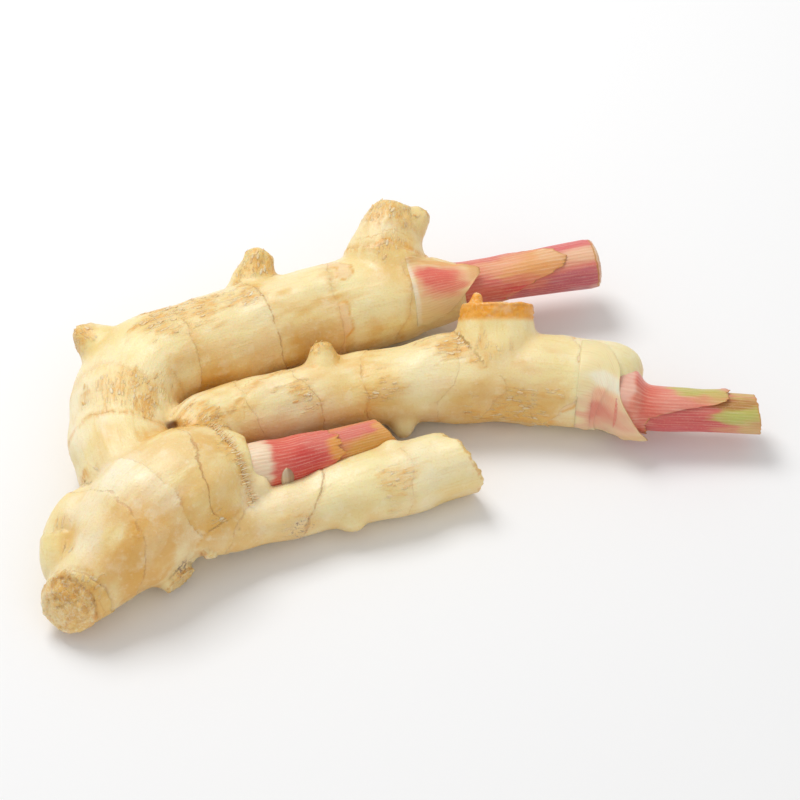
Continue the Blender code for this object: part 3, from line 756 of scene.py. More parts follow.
def youngGingerSkin(look):
    # thin damp skin over juicy flesh: soft gloss, light that spreads inside, dry papery patches
    skin = bpy.data.materials.new("youngGingerSkin")
    skin.use_nodes = True
    tree = skin.node_tree
    shader = tree.nodes["Principled BSDF"]
    add = partial(addNode, tree)
    layers = []
    spot = add("ShaderNodeTexCoord", out="Object")
    inMm = add("ShaderNodeVectorMath", {0: spot, "Scale": 1000.0}, operation="SCALE")
    grain = add("attribute", out="Vector", attribute_name="grain")
    fibre = add("ShaderNodeVectorMath", [grain, (0.09, 1.0, 1.0)], operation="MULTIPLY")
    pure = add("attribute", attribute_name="pure")
    pores = add("noise", {"Vector": inMm, "Scale": 1 / look["poreSize"], "Detail": 2.0, "Roughness": 0.55})
    crinkle = add("noise", {"Vector": inMm, "Scale": 1 / 1.6, "Detail": 4.0, "Roughness": 0.62})
    mottle = add("noise", {"Vector": inMm, "Scale": 1 / 4.5, "Detail": 4.0, "Roughness": 0.55})
    streaks = add(
        "noise", {"Vector": fibre, "Scale": 1 / look["streakWidth"], "Detail": 3.0, "Roughness": 0.55}
    )
    longFibre = add("ShaderNodeVectorMath", [grain, (0.3, 1.0, 1.0)], operation="MULTIPLY")
    flecks = add("noise", {"Vector": longFibre, "Scale": 1 / 1.3, "Detail": 4.0, "Roughness": 0.65})

    colour = add("attribute", out="Color", attribute_name="tint")
    layers.append((add("smooth", [mottle, 0.52, 0.72, 0, 0.28]), look["butter"]))
    layers.append((add("smooth", [mottle, 0.46, 0.3, 0, 0.3]), look["pale"]))
    layers.append((add("multiply", [add("smooth", [streaks, 0.52, 0.7, 0, 0.2]), pure]), look["amber"]))
    layers.append((add("smooth", [pores, 0.52, 0.72, 0, 0.16]), look["gold"]))
    layers.append((add("smooth", [crinkle, 0.55, 0.7, 0, 0.22]), look["flake"]))

    # warm band and thin line at each leaf scar
    wobble = add("noise", {"Vector": inMm, "Scale": 1 / 0.9, "Detail": 3.0, "Roughness": 0.55})
    jitter = add("multiply", [add("subtract", [wobble, 0.5]), 0.7])
    away = add("absolute", [add("add", [add("attribute", attribute_name="ringGap"), jitter])])
    band = add("multiply", [add("smooth", [away, 2.6, 0.2]), add("attribute", attribute_name="ringWarm")])
    warm = add("multiply", [band, add("smooth", [flecks, 0.32, 0.62])])
    layers.append((add("multiply", [warm, 0.75]), look["dry"]))
    breaks = add("noise", {"Vector": inMm, "Scale": 1 / 2.8, "Detail": 2.0, "Roughness": 0.55})
    line = add("multiply", [add("smooth", [away, 0.3, 0.06]), add("attribute", attribute_name="ringLine")])
    line = add("multiply", [line, add("smooth", [breaks, 0.3, 0.55])])
    thin = add("multiply", [line, add("attribute", attribute_name="ringNear")])

    # dry papery patches: amber skin with orange streaks and pale lifted flakes along the finger
    dry = add("attribute", attribute_name="dry")
    layers.append((add("smooth", [dry, 0.0, 0.8, 0, 0.5]), look["amber"]))
    fleck = add("add", [add("multiply", [dry, 0.75]), add("multiply", [add("subtract", [flecks, 0.5]), 1.9])])
    dryMask = add("multiply", [add("smooth", [fleck, 0.3, 0.95]), add("smooth", [dry, 0.0, 0.35])])
    layers.append((add("multiply", [dryMask, 0.75]), look["dry"]))
    deepMask = add("multiply", [add("smooth", [fleck, 0.85, 1.3]), add("smooth", [dry, 0.2, 0.8])])
    layers.append((add("multiply", [deepMask, 0.6]), look["dryDeep"]))
    shifted = add("ShaderNodeVectorMath", [longFibre, (7.0, 3.0, 5.0)], operation="ADD")
    liftNoise = add("noise", {"Vector": shifted, "Scale": 1 / 0.9, "Detail": 3.0, "Roughness": 0.6})
    liftMask = add("multiply", [add("smooth", [liftNoise, 0.54, 0.66]), add("smooth", [dry, 0.1, 0.55])])
    layers.append((add("multiply", [liftMask, 0.35]), look["flake"]))

    # loose tongues of peeled skin
    tongue = add("attribute", attribute_name="tongue")
    layers.append((add("multiply", [tongue, 0.5]), look["peel"]))
    layers.append((add("multiply", [add("attribute", attribute_name="tongueEdge"), 0.8]), look["dry"]))
    layers.append((add("multiply", [thin, 0.85]), look["ringLine"]))

    # purple-grey specks where the skin is bruised
    speck = add("attribute", attribute_name="speck")
    blot = add("noise", {"Vector": inMm, "Scale": 1 / 0.7, "Detail": 4.0, "Roughness": 0.7})
    bruise = add("add", [speck, add("multiply", [add("subtract", [blot, 0.5]), 2.2])])
    speckMask = add("multiply", [add("smooth", [bruise, 0.75, 1.15]), add("smooth", [speck, 0.05, 0.4])])
    layers.append((add("multiply", [speckMask, 0.75]), look["speck"]))

    layers.append((add("smooth", [add("attribute", attribute_name="pit"), 0.25, 0.9, 0, 0.9]), look["pit"]))

    # cut faces: wet grainy flesh with the ends of its fibres, and a dried rim
    cap = add("attribute", attribute_name="cap")
    bundles = add("ShaderNodeTexVoronoi", {"Vector": inMm, "Scale": 0.95}, out="Distance")
    dots = add("multiply", [add("smooth", [bundles, 0.34, 0.12, 0, 0.4]), cap])
    layers.append((dots, look["cutFibre"]))
    flesh = add("noise", {"Vector": inMm, "Scale": 1 / 0.8, "Detail": 4.0, "Roughness": 0.7})
    wet = add("multiply", [add("smooth", [flesh, 0.5, 0.62, 0, 0.35]), cap])
    layers.append((wet, look["pale"]))
    toRim = add("absolute", [add("add", [add("attribute", attribute_name="cutGap"), 0.5])])
    patchy = add("noise", {"Vector": inMm, "Scale": 1 / 2.0, "Detail": 3.0, "Roughness": 0.55})
    rim = add("multiply", [add("smooth", [toRim, 0.55, 0.15]), add("smooth", [patchy, 0.35, 0.6])])
    layers.append((add("multiply", [rim, 0.6]), look["dryDeep"]))
    for amount, code in layers:  # each coat of colour over the one before
        colour = add("mix", {0: amount, 6: colour, 7: code})
    tree.links.new(colour, shader.inputs["Base Color"])

    roughness = add("add", [look["roughness"] - 0.12, add("multiply", [mottle, 0.24])])
    roughness = add("add", [roughness, add("multiply", [dryMask, 0.14])])
    tree.links.new(roughness, shader.inputs["Roughness"])
    height = add("add", [add("multiply", [pores, 0.5]), add("multiply", [crinkle, 0.5])])
    height = add("add", [height, add("multiply", [add("multiply", [streaks, pure]), 0.45])])
    height = add(
        "add", [height, add("multiply", [add("multiply", [flecks, add("smooth", [dry, 0.1, 0.7])]), 1.3])]
    )
    height = add("add", [height, add("multiply", [liftMask, 0.8])])
    height = add("subtract", [height, add("multiply", [thin, 1.2])])
    height = add(
        "subtract",
        [height, add("multiply", [add("multiply", [add("smooth", [bundles, 0.34, 0.12]), cap]), 0.5])],
    )
    bump = add("ShaderNodeBump", {"Height": height, "Distance": look["bumpHeight"] * mm, "Strength": 0.9})
    tree.links.new(bump, shader.inputs["Normal"])
    shader.inputs["Subsurface Weight"].default_value = 0.28
    shader.inputs["Subsurface Radius"].default_value = (1.0, 0.62, 0.28)
    shader.inputs["Subsurface Scale"].default_value = look["seeDepth"] * mm
    shader.inputs["IOR"].default_value = 1.4
    shader.inputs["Coat Weight"].default_value = 0.2
    shader.inputs["Coat Roughness"].default_value = 0.3
    return skin


rhizome, skinMap = growRhizome(rhizomeShape)
rhizome.data.materials.append(youngGingerSkin(skinLook))
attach(rhizome, "root")
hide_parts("rhizome")
print("rhizome done")


def nodeTree(name, numbers):  # a Geometry Nodes tree with a geometry and named number inputs
    tree = bpy.data.node_groups.new(name, "GeometryNodeTree")
    tree.interface.new_socket("Geometry", in_out="OUTPUT", socket_type="NodeSocketGeometry")
    tree.interface.new_socket("Geometry", in_out="INPUT", socket_type="NodeSocketGeometry")
    tree.interface.new_socket("Material", in_out="INPUT", socket_type="NodeSocketMaterial")
    for number in numbers:
        kind = "NodeSocketInt" if number == "Seed" else "NodeSocketFloat"
        tree.interface.new_socket(number, in_out="INPUT", socket_type=kind)
    return tree, addNode(tree, "NodeGroupInput").node.outputs


def closeTree(tree, geometry, material):  # realised, with its material, to the output
    real = addNode(tree, "GeometryNodeRealizeInstances", [geometry])
    done = addNode(tree, "GeometryNodeSetMaterial", {"Geometry": real, "Material": material})
    addNode(tree, "NodeGroupOutput", [done])


def runTree(obj, tree, values):  # puts the tree on the object, sets its inputs, and leaves a plain mesh
    modifier = obj.modifiers.new(tree.name, "NODES")
    modifier.node_group = tree
    for item in tree.interface.items_tree:
        if item.in_out == "INPUT" and item.name in values:
            modifier[item.identifier] = values[item.name]
    obj.data.update()
    return plainMesh(obj)


def leafRibTree():  # fine lengthwise ribs on a leaf, from its own distance across in mm
    tree, given = nodeTree("leafRibs", ("Rib spacing", "Rib height", "Wander", "Seed"))
    across = addNode(tree, "GeometryNodeInputNamedAttribute", {"Name": "across"}, data_type="FLOAT")
    along = addNode(tree, "GeometryNodeInputNamedAttribute", {"Name": "along"}, data_type="FLOAT")
    slowAlong = addNode(tree, "multiply", [along, 0.06])
    slow = addNode(tree, "ShaderNodeCombineXYZ", [across, slowAlong, given["Seed"]])
    noise = addNode(tree, "noise", {"Vector": slow, "Scale": 0.5, "Detail": 2.0})
    drift = addNode(tree, "multiply", [noise, given["Wander"]])
    spaced = addNode(tree, "ShaderNodeMath", [across, given["Rib spacing"]], operation="DIVIDE")
    drifted = addNode(tree, "add", [spaced, drift])
    phase = addNode(tree, "multiply", [drifted, math.tau])
    wave = addNode(tree, "ShaderNodeMath", [phase], operation="SINE")
    stored = addNode(
        tree,
        "GeometryNodeStoreNamedAttribute",
        {"Geometry": given["Geometry"], "Name": "rib", "Value": wave},
        data_type="FLOAT",
        domain="POINT",
    )
    height = addNode(tree, "multiply", [wave, given["Rib height"]])
    normal = addNode(tree, "GeometryNodeInputNormal")
    offset = addNode(tree, "ShaderNodeVectorMath", {0: normal, "Scale": height}, operation="SCALE")
    moved = addNode(tree, "GeometryNodeSetPosition", {"Geometry": stored, "Offset": offset})
    closeTree(tree, moved, given["Material"])
    return tree


def thinShell(name, outer, inward, wall, closed):
    # a shell from its outer points, the way inwards and its wall in mm, with its edges closed
    count, sides = outer.shape[:2]
    total = count * sides
    points = np.vstack([outer.reshape(-1, 3), (outer + inward * wall[..., None]).reshape(-1, 3)])
    faces = gridFaces(count, sides, closed)
    faces += [tuple(total + i for i in face[::-1]) for face in faces]
    last = (count - 1) * sides
    for j in range(sides if closed else sides - 1):
        k = (j + 1) % sides
        faces.append((k, j, total + j, total + k))
        faces.append((last + j, last + k, total + last + k, total + last + j))
    if not closed:
        for i in range(count - 1):
            a, b = i * sides, (i + 1) * sides
            faces.append((a, b, total + b, total + a))
            a, b = a + sides - 1, b + sides - 1
            faces.append((b, a, total + a, total + b))
    return makeObject(name, points, faces)


def trackAt(rows, distance):  # place, frame and radius at distances in mm from the first row
    gaps = np.linalg.norm(np.diff(rows[:, :3], axis=0), axis=1)
    travelled = np.concatenate([[0], np.cumsum(gaps)])
    # past the last row the line goes straight on
    span = np.clip(distance, 0, travelled[-1])
    parts = []
    for field in (rows[:, :3], *rowFrames(rows)):
        parts.append(np.stack([np.interp(span, travelled, field[:, k]) for k in range(3)], axis=-1))
    parts[0] = parts[0] + (distance - span)[..., None] * parts[1]
    return *parts, np.interp(span, travelled, rows[:, 3])


def paintTint(base, spots, along, degrees, points):
    # a leaf's colour: its base, then soft patches at a distance and angle, each with half its length and angle
    tint = np.tile(linearColour(base), (along.size, 1))
    lines = np.stack([along.ravel() / 12, degrees.ravel() * 0.11], axis=1)
    wobble = 0.1 * waves(points, 5, 71) + 0.05 * waves(points, 1.6, 72) + 0.09 * waves(lines, 0.9, 73, 30)
    for code, atAlong, atAngle, halfLength, halfAngle, strength in spots:
        turn = turnFrom(degrees.ravel(), atAngle)
        far = np.hypot((along.ravel() - atAlong) / halfLength, turn / halfAngle) + wobble
        tint = tintOver(tint, code, strength * (1 - step(0.55, 1.15, far)))
    return tint


shootLooks = {
    "back_shoot": {
        "end": 47.6,
        "dome": 2.0,
        "slant": 0.6,
        "slantAngle": 40,
        "base": "#DE8072",
        "spots": [
            ("#B9556A", 44, 200, 24, 52, 0.8), ("#C9909A", 44, 215, 10, 30, 0.6),
            ("#E9BE9A", 46, 100, 13, 24, 0.95), ("#E6B48C", 36, 118, 16, 14, 0.5),
            ("#D8696B", 30, 62, 26, 34, 0.8), ("#C66A78", 44, 165, 12, 28, 0.6),
            ("#DDA996", 49, 250, 6, 80, 0.6), ("#E3A08A", 20, 300, 40, 60, 0.6),
        ],
        "sheath": {
            "reach": lambda turn: 19.5 + 19 * (1 - step(4, 85, abs(turn - 108))) - 1.5 * (turn > 200),
            "base": "#DC7264",
            "spots": [
                ("#D95A58", 21, 150, 12, 45, 0.95), ("#DE8A78", 12, 120, 10, 80, 0.5),
                ("#E9A77C", 25, 95, 16, 38, 0.9), ("#E3A35E", 33, 112, 13, 48, 0.85),
                ("#E8B98A", 36, 92, 7, 22, 0.7), ("#E08A6A", 26, 140, 5, 14, 0.6),
                ("#EBC7A8", 30, 175, 9, 10, 0.5), ("#E8C9A4", 14, 215, 9, 25, 0.6),
            ],
            "flare": (0.6, 6, 3, 90, 120),
        },
    },
    "middle_shoot": {
        "end": 40.3,
        "dome": 0.5,
        "slant": 2.2,
        "slantAngle": 30,
        "base": "#D87468",
        "spots": [
            ("#E58F7C", 8, 150, 8, 40, 0.6), ("#CF5C58", 20, 170, 13, 45, 0.9),
            ("#C9505A", 17, 205, 12, 30, 0.5), ("#C3BE62", 36, 120, 8, 40, 0.95),
            ("#BFC066", 33, 145, 9, 22, 0.85), ("#D9A274", 35, 190, 9, 26, 0.6),
            ("#D3B873", 38.5, 180, 5, 50, 0.7), ("#B5783F", 32, 98, 10, 26, 0.85),
            ("#CFC070", 36, 30, 9, 60, 0.7), ("#D9A88A", 30, 280, 12, 60, 0.5),
        ],
        "sheath": {
            "reach": lambda turn: np.where(
                turn < 235, 30.5 - 21.5 * step(92, 158, turn), 9 + 21.5 * step(235, 350, turn)
            ),
            "base": "#E38570",
            "spots": [
                ("#DC6652", 8, 110, 8, 60, 0.8), ("#E9A084", 3.5, 150, 4, 70, 0.5),
                ("#E79C88", 16, 100, 8, 40, 0.5), ("#BEBE62", 22, 62, 9, 34, 0.9),
                ("#C8B864", 28, 80, 5, 30, 0.8), ("#D9A06E", 24, 98, 5, 16, 0.6),
                ("#D8B67A", 24, 300, 10, 60, 0.5), ("#EBC0AC", 2, 60, 3, 80, 0.7),
            ],
            "flare": (3.8, 4.5, 2.6, 60, 110),
        },
    },
    "centre_shoot": {
        "end": 48.3,
        "dome": 0.3,
        "slant": 5.0,
        "slantAngle": 50,
        "base": "#DE8D5E",
        "spots": [
            ("#DB7A6C", 36, 88, 14, 34, 0.95), ("#D9A04A", 41, 150, 13, 42, 0.95),
            ("#E0A552", 46, 100, 5, 50, 0.85), ("#D96A50", 34, 200, 14, 22, 0.5),
            ("#D05A48", 47, 195, 3, 26, 0.7),
        ],
        "sheath": {
            "reach": lambda turn: 30.5 - 3.2 * step(135, 200, turn) - 4.0 * step(100, 45, turn),
            "base": "#DC6352",
            "spots": [
                ("#EFD6B6", 7.6, 110, 4.2, 110, 0.95), ("#D14740", 20, 150, 6.5, 55, 0.9),
                ("#DD7E70", 25, 90, 6, 40, 0.6), ("#E8A24A", 30, 140, 4, 60, 0.9),
                ("#E39A55", 27.5, 190, 4, 30, 0.7), ("#D94E45", 13.5, 205, 5, 24, 0.85),
            ],
            "flare": (0.6, 10, 3, 150, 120),
        },
    },
}

leafForm = {
    "ribSpacing": 0.95,  # mm
    "ribHeight": 0.03,  # mm
    "ribWander": 0.5,
    "wall": 0.5,  # mm, a sheath's wall
    "tornEdge": 0.5,  # mm, raggedness at the torn end
    "girth": 6.4,  # mm round per radian, for the ribs
    "columns": 240,
    "rows": 64,
    "coreRows": 90,
    "scaleColumns": 110,
    "farthestSkin": 22.0,  # mm, where a scale leaf still finds the finger under it
}


def shootLeaf(name, rough, gloss, veinStrength):
    # young leaf: waxy with fine veins, pink where light reached it, and light glows through
    leaf = bpy.data.materials.new(name)
    leaf.use_nodes = True
    tree = leaf.node_tree
    shader = tree.nodes["Principled BSDF"]
    add = partial(addNode, tree)
    layers = []
    spot = add("ShaderNodeTexCoord", out="Object")
    inMm = add("ShaderNodeVectorMath", {0: spot, "Scale": 1000.0}, operation="SCALE")
    slowAlong = add("multiply", [add("attribute", attribute_name="along"), 0.07])
    lengthwise = add("ShaderNodeCombineXYZ", [slowAlong, add("attribute", attribute_name="across")])
    streaks = add("noise", {"Vector": lengthwise, "Scale": 1.9, "Detail": 4.0, "Roughness": 0.65})
    grain = add("noise", {"Vector": inMm, "Scale": 2.2, "Detail": 3.0})
    rib = add("attribute", attribute_name="rib")
    colour = add("attribute", out="Color", attribute_name="tint")
    deep = add("mix", {0: 1.0, 6: colour, 7: (0.78, 0.55, 0.5, 1)}, blend_type="MULTIPLY")
    pale = add("mix", {0: 0.55, 6: colour, 7: "#F6DCC6"})
    ribShare = add("multiply", [rib, 0.35])
    raisedVein = add("add", [ribShare, add("multiply", [streaks, 3.0])])
    paler = add("multiply", [add("smooth", [raisedVein, 1.45, 2.2]), veinStrength])
    sunkVein = add("subtract", [add("multiply", [streaks, -3.0]), ribShare])
    deeper = add("multiply", [add("smooth", [sunkVein, -1.45, -0.7]), veinStrength])
    layers.append((paler, pale))
    layers.append((deeper, deep))
    layers.append((add("smooth", [grain, 0.55, 0.75, 0, 0.2]), "#F2CFAE"))
    edge = add(
        "add",
        [add("attribute", attribute_name="edge"), add("multiply", [add("subtract", [grain, 0.5]), 0.5])],
    )
    layers.append((add("smooth", [edge, 0.3, 0.85, 0, 0.8]), "#C98F4C"))
    layers.append((add("smooth", [edge, 0.92, 1.05, 0, 0.7]), "#8A5A34"))
    for amount, code in layers:  # each coat of colour over the one before
        colour = add("mix", {0: amount, 6: colour, 7: code})
    tree.links.new(colour, shader.inputs["Base Color"])
    tree.links.new(
        add("add", [rough, add("multiply", [add("subtract", [grain, 0.5]), 0.3])]),
        shader.inputs["Roughness"],
    )
    height = add("add", [add("multiply", [streaks, 0.6]), add("multiply", [grain, 0.4])])
    bump = add("ShaderNodeBump", {"Height": height, "Distance": 0.12 * mm, "Strength": 0.7})
    tree.links.new(bump, shader.inputs["Normal"])
    shader.inputs["Subsurface Weight"].default_value = 0.3
    shader.inputs["Subsurface Radius"].default_value = (1.0, 0.45, 0.3)
    shader.inputs["Subsurface Scale"].default_value = 1.2 * mm
    shader.inputs["IOR"].default_value = 1.42
    shader.inputs["Coat Weight"].default_value = gloss
    shader.inputs["Coat Roughness"].default_value = 0.32
    return leaf


ribTree = leafRibTree()
sheathSkin = shootLeaf("pinkLeafSheath", 0.42, 0.15, 0.4)
coreSkin = shootLeaf("rolledYoungLeaves", 0.48, 0.1, 0.35)
scaleSkin = shootLeaf("creamScaleLeaf", 0.45, 0.12, 0.35)


def finishLeaf(piece, skin, node, seed):  # adds its ribs, then says what it rides on and stands for
    runTree(piece, ribTree, {
        "Material": skin, "Rib spacing": leafForm["ribSpacing"], "Rib height": leafForm["ribHeight"] * mm,
        "Wander": leafForm["ribWander"], "Seed": seed,
    })
    piece.data.shade_smooth()
    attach(piece, "root")
    if node:
        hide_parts(node)


def leafAttributes(piece, tint, along, across, edge, walls):  # the same on each wall of the leaf
    setAttribute(piece.data, "tint", np.concatenate([tint] * walls), "FLOAT_COLOR")
    for label, values in (("along", along), ("across", across), ("edge", edge)):
        setAttribute(piece.data, label, np.concatenate([values.ravel()] * walls))


def outwards(turn, across, up):  # the way out from the middle line at each angle, on the CAD's oval
    wide = np.cos(turn)[..., None] * across * layout["wide"]
    return wide + np.sin(turn)[..., None] * up * layout["tall"]


def turnFrom(degrees, middle):  # degrees from that angle, from -180 to 180
    return (degrees - middle + 180) % 360 - 180


def makeSheath(node, look, rows, seed):
    form = look["sheath"]
    turn = np.arange(leafForm["columns"]) * math.tau / leafForm["columns"]
    degrees = np.degrees(turn)
    circle = np.stack([np.cos(turn), np.sin(turn)], 1)
    ragged = waves(circle, 0.25, seed, 30) + 0.7 * waves(circle, 0.08, seed + 1, 40)
    reach = form["reach"](degrees) + leafForm["tornEdge"] * ragged
    share = np.linspace(0, 1, leafForm["rows"])[:, None]
    along = share * reach[None]
    centre, _, across, up, radius = trackAt(rows, along)
    lift, flareAt, flareWidth, flareAngle, flareSpread = form["flare"]
    flare = lift * np.exp(-np.clip((along - flareAt) / flareWidth, 0, None) ** 2)
    flare = flare * np.exp(-(turnFrom(degrees, flareAngle) / flareSpread) ** 2)
    end = reach[None] - along
    curl = 0.35 * np.exp(-end / 1.2) * waves(circle, 0.5, seed + 2)[None]
    cosine, sine = (np.broadcast_to(circle[:, k], along.shape) for k in range(2))
    dentAt = np.stack([along / 6, cosine, sine], -1).reshape(-1, 3)
    dent = 0.12 * waves(dentAt, 0.8, seed + 3).reshape(along.shape)
    out = radius + 0.75 + flare + curl + dent
    radial = outwards(turn, across, up)
    outer = centre + out[..., None] * radial
    wall = leafForm["wall"] * (0.3 + 0.7 * step(0, 2.5, end))
    piece = thinShell(node + "_sheath_leaf", outer, -radial, wall, True)
    points = outer.reshape(-1, 3)
    tint = paintTint(form["base"], form["spots"], along, np.broadcast_to(degrees, along.shape), points)
    edge = np.exp(-end / 0.55) * np.clip(0.85 + 0.3 * waves(circle, 0.2, seed + 4)[None], 0.4, 1.2)
    leafAttributes(piece, tint, along, np.broadcast_to(turn * leafForm["girth"], along.shape), edge, 2)
    finishLeaf(piece, sheathSkin, node + "_sheath", seed)


def makeCore(node, look, rows, seed):  # rolled leaves: a ribbed side and a cut end that shows the roll
    turn = np.arange(leafForm["columns"]) * math.tau / leafForm["columns"]
    degrees = np.degrees(turn)
    circle = np.stack([np.cos(turn), np.sin(turn)], 1)
    slantTurn = turn - math.radians(look["slantAngle"])
    end = look["end"] - look["slant"] * (1 + np.cos(slantTurn)) / 2 + 0.12 * waves(circle, 0.15, seed)
    along = np.linspace(0, 1, leafForm["coreRows"])[:, None] * end[None]
    centre, ahead, across, up, radius = trackAt(rows, along)
    # the outer leaf of the roll overlaps itself along one line
    lap = 0.45 * np.exp(-((degrees[None] - 118 - along * 0.8 + 180) % 360) / 70.0)
    out = radius + lap - 0.25 * step(2.0, 0, end[None] - along) * (look["dome"] > 1)
    radial = outwards(turn, across, up)
    side = centre + out[..., None] * radial
    rim, middle = side[-1], side[-1].mean(axis=0)
    ahead = ahead[-1].mean(axis=0)
    caps = []
    shares = np.array(
        [0.985, 0.95, 0.9, 0.84, 0.78, 0.71, 0.64, 0.57, 0.5, 0.43, 0.36, 0.29, 0.22, 0.15, 0.08]
    )
    for share in shares:
        roll = (share * out[-1].mean() / 1.35 - turn / math.tau) % 1.0
        relief = 0.32 * np.minimum(roll / 0.8, (1 - roll) / 0.2) - 0.3
        dome = look["dome"] * math.sqrt(1 - share**2)
        caps.append(
            middle + (rim - middle) * share + ahead * (dome + relief * step(1.0, 0.93, share))[:, None]
        )
    grid = np.concatenate([side, np.array(caps)])
    count, sides = grid.shape[:2]
    points = np.vstack([grid.reshape(-1, 3), side[0].mean(axis=0), grid[-1].mean(axis=0)])
    faces = gridFaces(count, sides, True)
    for j in range(sides):
        k = (j + 1) % sides
        faces.append((count * sides, k, j))
        faces.append((count * sides + 1, (count - 1) * sides + j, (count - 1) * sides + k))
    piece = makeObject(node + "_core", points, faces)
    allAlong = np.vstack([along, np.repeat(end[None], len(caps), 0)])
    allDegrees = np.broadcast_to(degrees, allAlong.shape)
    tint = paintTint(look["base"], look["spots"], allAlong, allDegrees, grid.reshape(-1, 3))
    onCap = np.zeros(allAlong.shape)
    onCap[len(along):] = 1
    tint = tintOver(tint, "#E9CFA4", onCap.ravel() * 0.6)
    edge = np.where(onCap > 0, 0.2, np.exp(-(end[None] - allAlong) / 0.3))
    tint = np.vstack([tint, np.repeat(tint[-1:], 2, 0)])  # the two middle points of the ends come last
    allAcross = np.append(np.broadcast_to(turn * leafForm["girth"], allAlong.shape), [0, 0])
    allAlong = np.append(allAlong, [0, look["end"]])
    leafAttributes(piece, tint, allAlong, allAcross, np.append(edge, [0, 0]), 1)
    finishLeaf(piece, coreSkin, node, seed)


for number, (node, look) in enumerate(shootLooks.items()):
    rows = curveRows(shoots[node], 10)
    makeCore(node, look, rows, 200 + 20 * number)
    makeSheath(node, look, rows, 210 + 20 * number)
print("shoots done")

# Scale leaves: x, y, z, radius and the angles of the two edges, as in the CAD
scaleLeaves = {
    "back_scale_leaf": {
        "stations": [
            (2, 40, 14, 14.2, 82, 184), (6, 41, 14, 12.9, 78, 186), (11, 42, 14, 11, 76, 172),
            (16, 43, 14, 9.5, 84, 150), (22.5, 44.3, 14, 8.7, 98, 108),
        ],
        "base": "#F0D8A0",
        "spots": [
            ("#EFCB9A", 12, 125, 16, 60, 0.6), ("#EA9A78", 9, 112, 11, 34, 0.8),
            ("#E4665A", 8, 108, 7.5, 20, 0.85), ("#E27A66", 11, 124, 7, 12, 0.6),
            ("#E9A862", 10, 84, 14, 8, 0.85), ("#E8B376", 20, 104, 4, 40, 0.8),
            ("#F6EAD0", 0.4, 140, 1.2, 60, 0.6),
        ],
    },
    "middle_scale_leaf": {
        "stations": [
            (50, 8.6, 12, 13.3, 62, 215), (56, 7.8, 12, 13, 68, 214), (61, 5.4, 12, 12.6, 96, 213),
            (66, 1.3, 11.4, 10.6, 142, 214), (72, -1.2, 11, 8.8, 200, 216),
        ],
        "base": "#F1DCA6",
        "spots": [
            ("#F2D9B0", 12, 165, 16, 60, 0.6), ("#EDA88A", 11, 168, 12, 38, 0.8),
            ("#E07868", 10, 172, 9, 22, 0.7), ("#F7ECD2", 9, 122, 9, 12, 0.85),
            ("#EDB898", 16, 190, 9, 22, 0.6), ("#E6BC84", 22, 208, 5, 30, 0.6),
            ("#E9A78C", 4, 204, 8, 12, 0.5),
        ],
    },
}


def makeScaleLeaf(node, look, seed):
    stations = np.array(look["stations"], float)
    rows = curveRows(stations[:, :4], 12)
    columns = leafForm["scaleColumns"]
    share = np.linspace(0, len(stations) - 1, len(rows))
    low = np.interp(share, np.arange(len(stations)), stations[:, 4])
    high = np.interp(share, np.arange(len(stations)), stations[:, 5])
    for _ in range(6):  # rounder outline
        low[1:-1] = (low[:-2] + 2 * low[1:-1] + low[2:]) / 4
        high[1:-1] = (high[:-2] + 2 * high[1:-1] + high[2:]) / 4
    degrees = low[:, None] + (high - low)[:, None] * np.linspace(0, 1, columns)[None]
    turn = np.radians(degrees)
    _, across, up = rowFrames(rows)
    radial = outwards(turn, across[:, None], up[:, None])
    travelled = np.concatenate([[0], np.cumsum(np.linalg.norm(np.diff(rows[:, :3], axis=0), axis=1))])
    along = np.broadcast_to(travelled[:, None], degrees.shape)
    reach = np.broadcast_to(rows[:, 3][:, None] + 0.7, degrees.shape).copy()
    # the leaf lies on the finger near its foot and leaves it towards its tip
    for i in range(len(rows)):
        for j in range(columns):
            ray = Vector(radial[i, j]).normalized()
            hit = skinTree.ray_cast(Vector(rows[i, :3]), ray, leafForm["farthestSkin"])
            if hit[0] is not None:
                reachHit = hit[3] / np.linalg.norm(radial[i, j])
                lean = step(0.25, 0.8, travelled[i] / travelled[-1])
                lifted = reachHit + 0.1 + 0.45 * step(0, 2.5, travelled[i])
                reach[i, j] = lifted * (1 - lean) + max(lifted, reach[i, j]) * lean
    for _ in range(10):
        reach[1:-1] = (reach[:-2] + 2 * reach[1:-1] + reach[2:]) / 4
        reach[:, 1:-1] = (reach[:, :-2] + 2 * reach[:, 1:-1] + reach[:, 2:]) / 4
    toTip = np.broadcast_to((travelled[-1] - travelled)[:, None], degrees.shape)
    toEdge = np.minimum.reduce([(degrees - low[:, None]) * 0.2, (high[:, None] - degrees) * 0.2, toTip])
    points = rows[:, None, :3] + reach[..., None] * radial
    frill = np.exp(-toEdge / 0.8) * waves(points.reshape(-1, 3), 2.6, seed).reshape(toEdge.shape)
    points = points + (0.28 * frill)[..., None] * radial
    wall = 0.18 + 0.4 * step(0, 3, toEdge)
    piece = thinShell(node + "_blade", points, -radial, wall, False)
    tint = paintTint(look["base"], look["spots"], along, degrees, points.reshape(-1, 3))
    # veins run to the tip: the distance across follows the share of the width
    width = np.radians(high - low) * rows[:, 3]
    acrossMm = np.linspace(0, 1, columns)[None] * (0.35 * width + 0.65 * width.max())[:, None]
    edge = np.exp(-toEdge / 0.35) * 0.7 * step(3, 12, along)
    leafAttributes(piece, tint, along, acrossMm, edge, 2)
    finishLeaf(piece, scaleSkin, node, seed)


budScale = {"along": 14.3, "foot": 190, "tip": 143, "halfWidth": 1.9, "rise": 0.5}  # mm and degrees


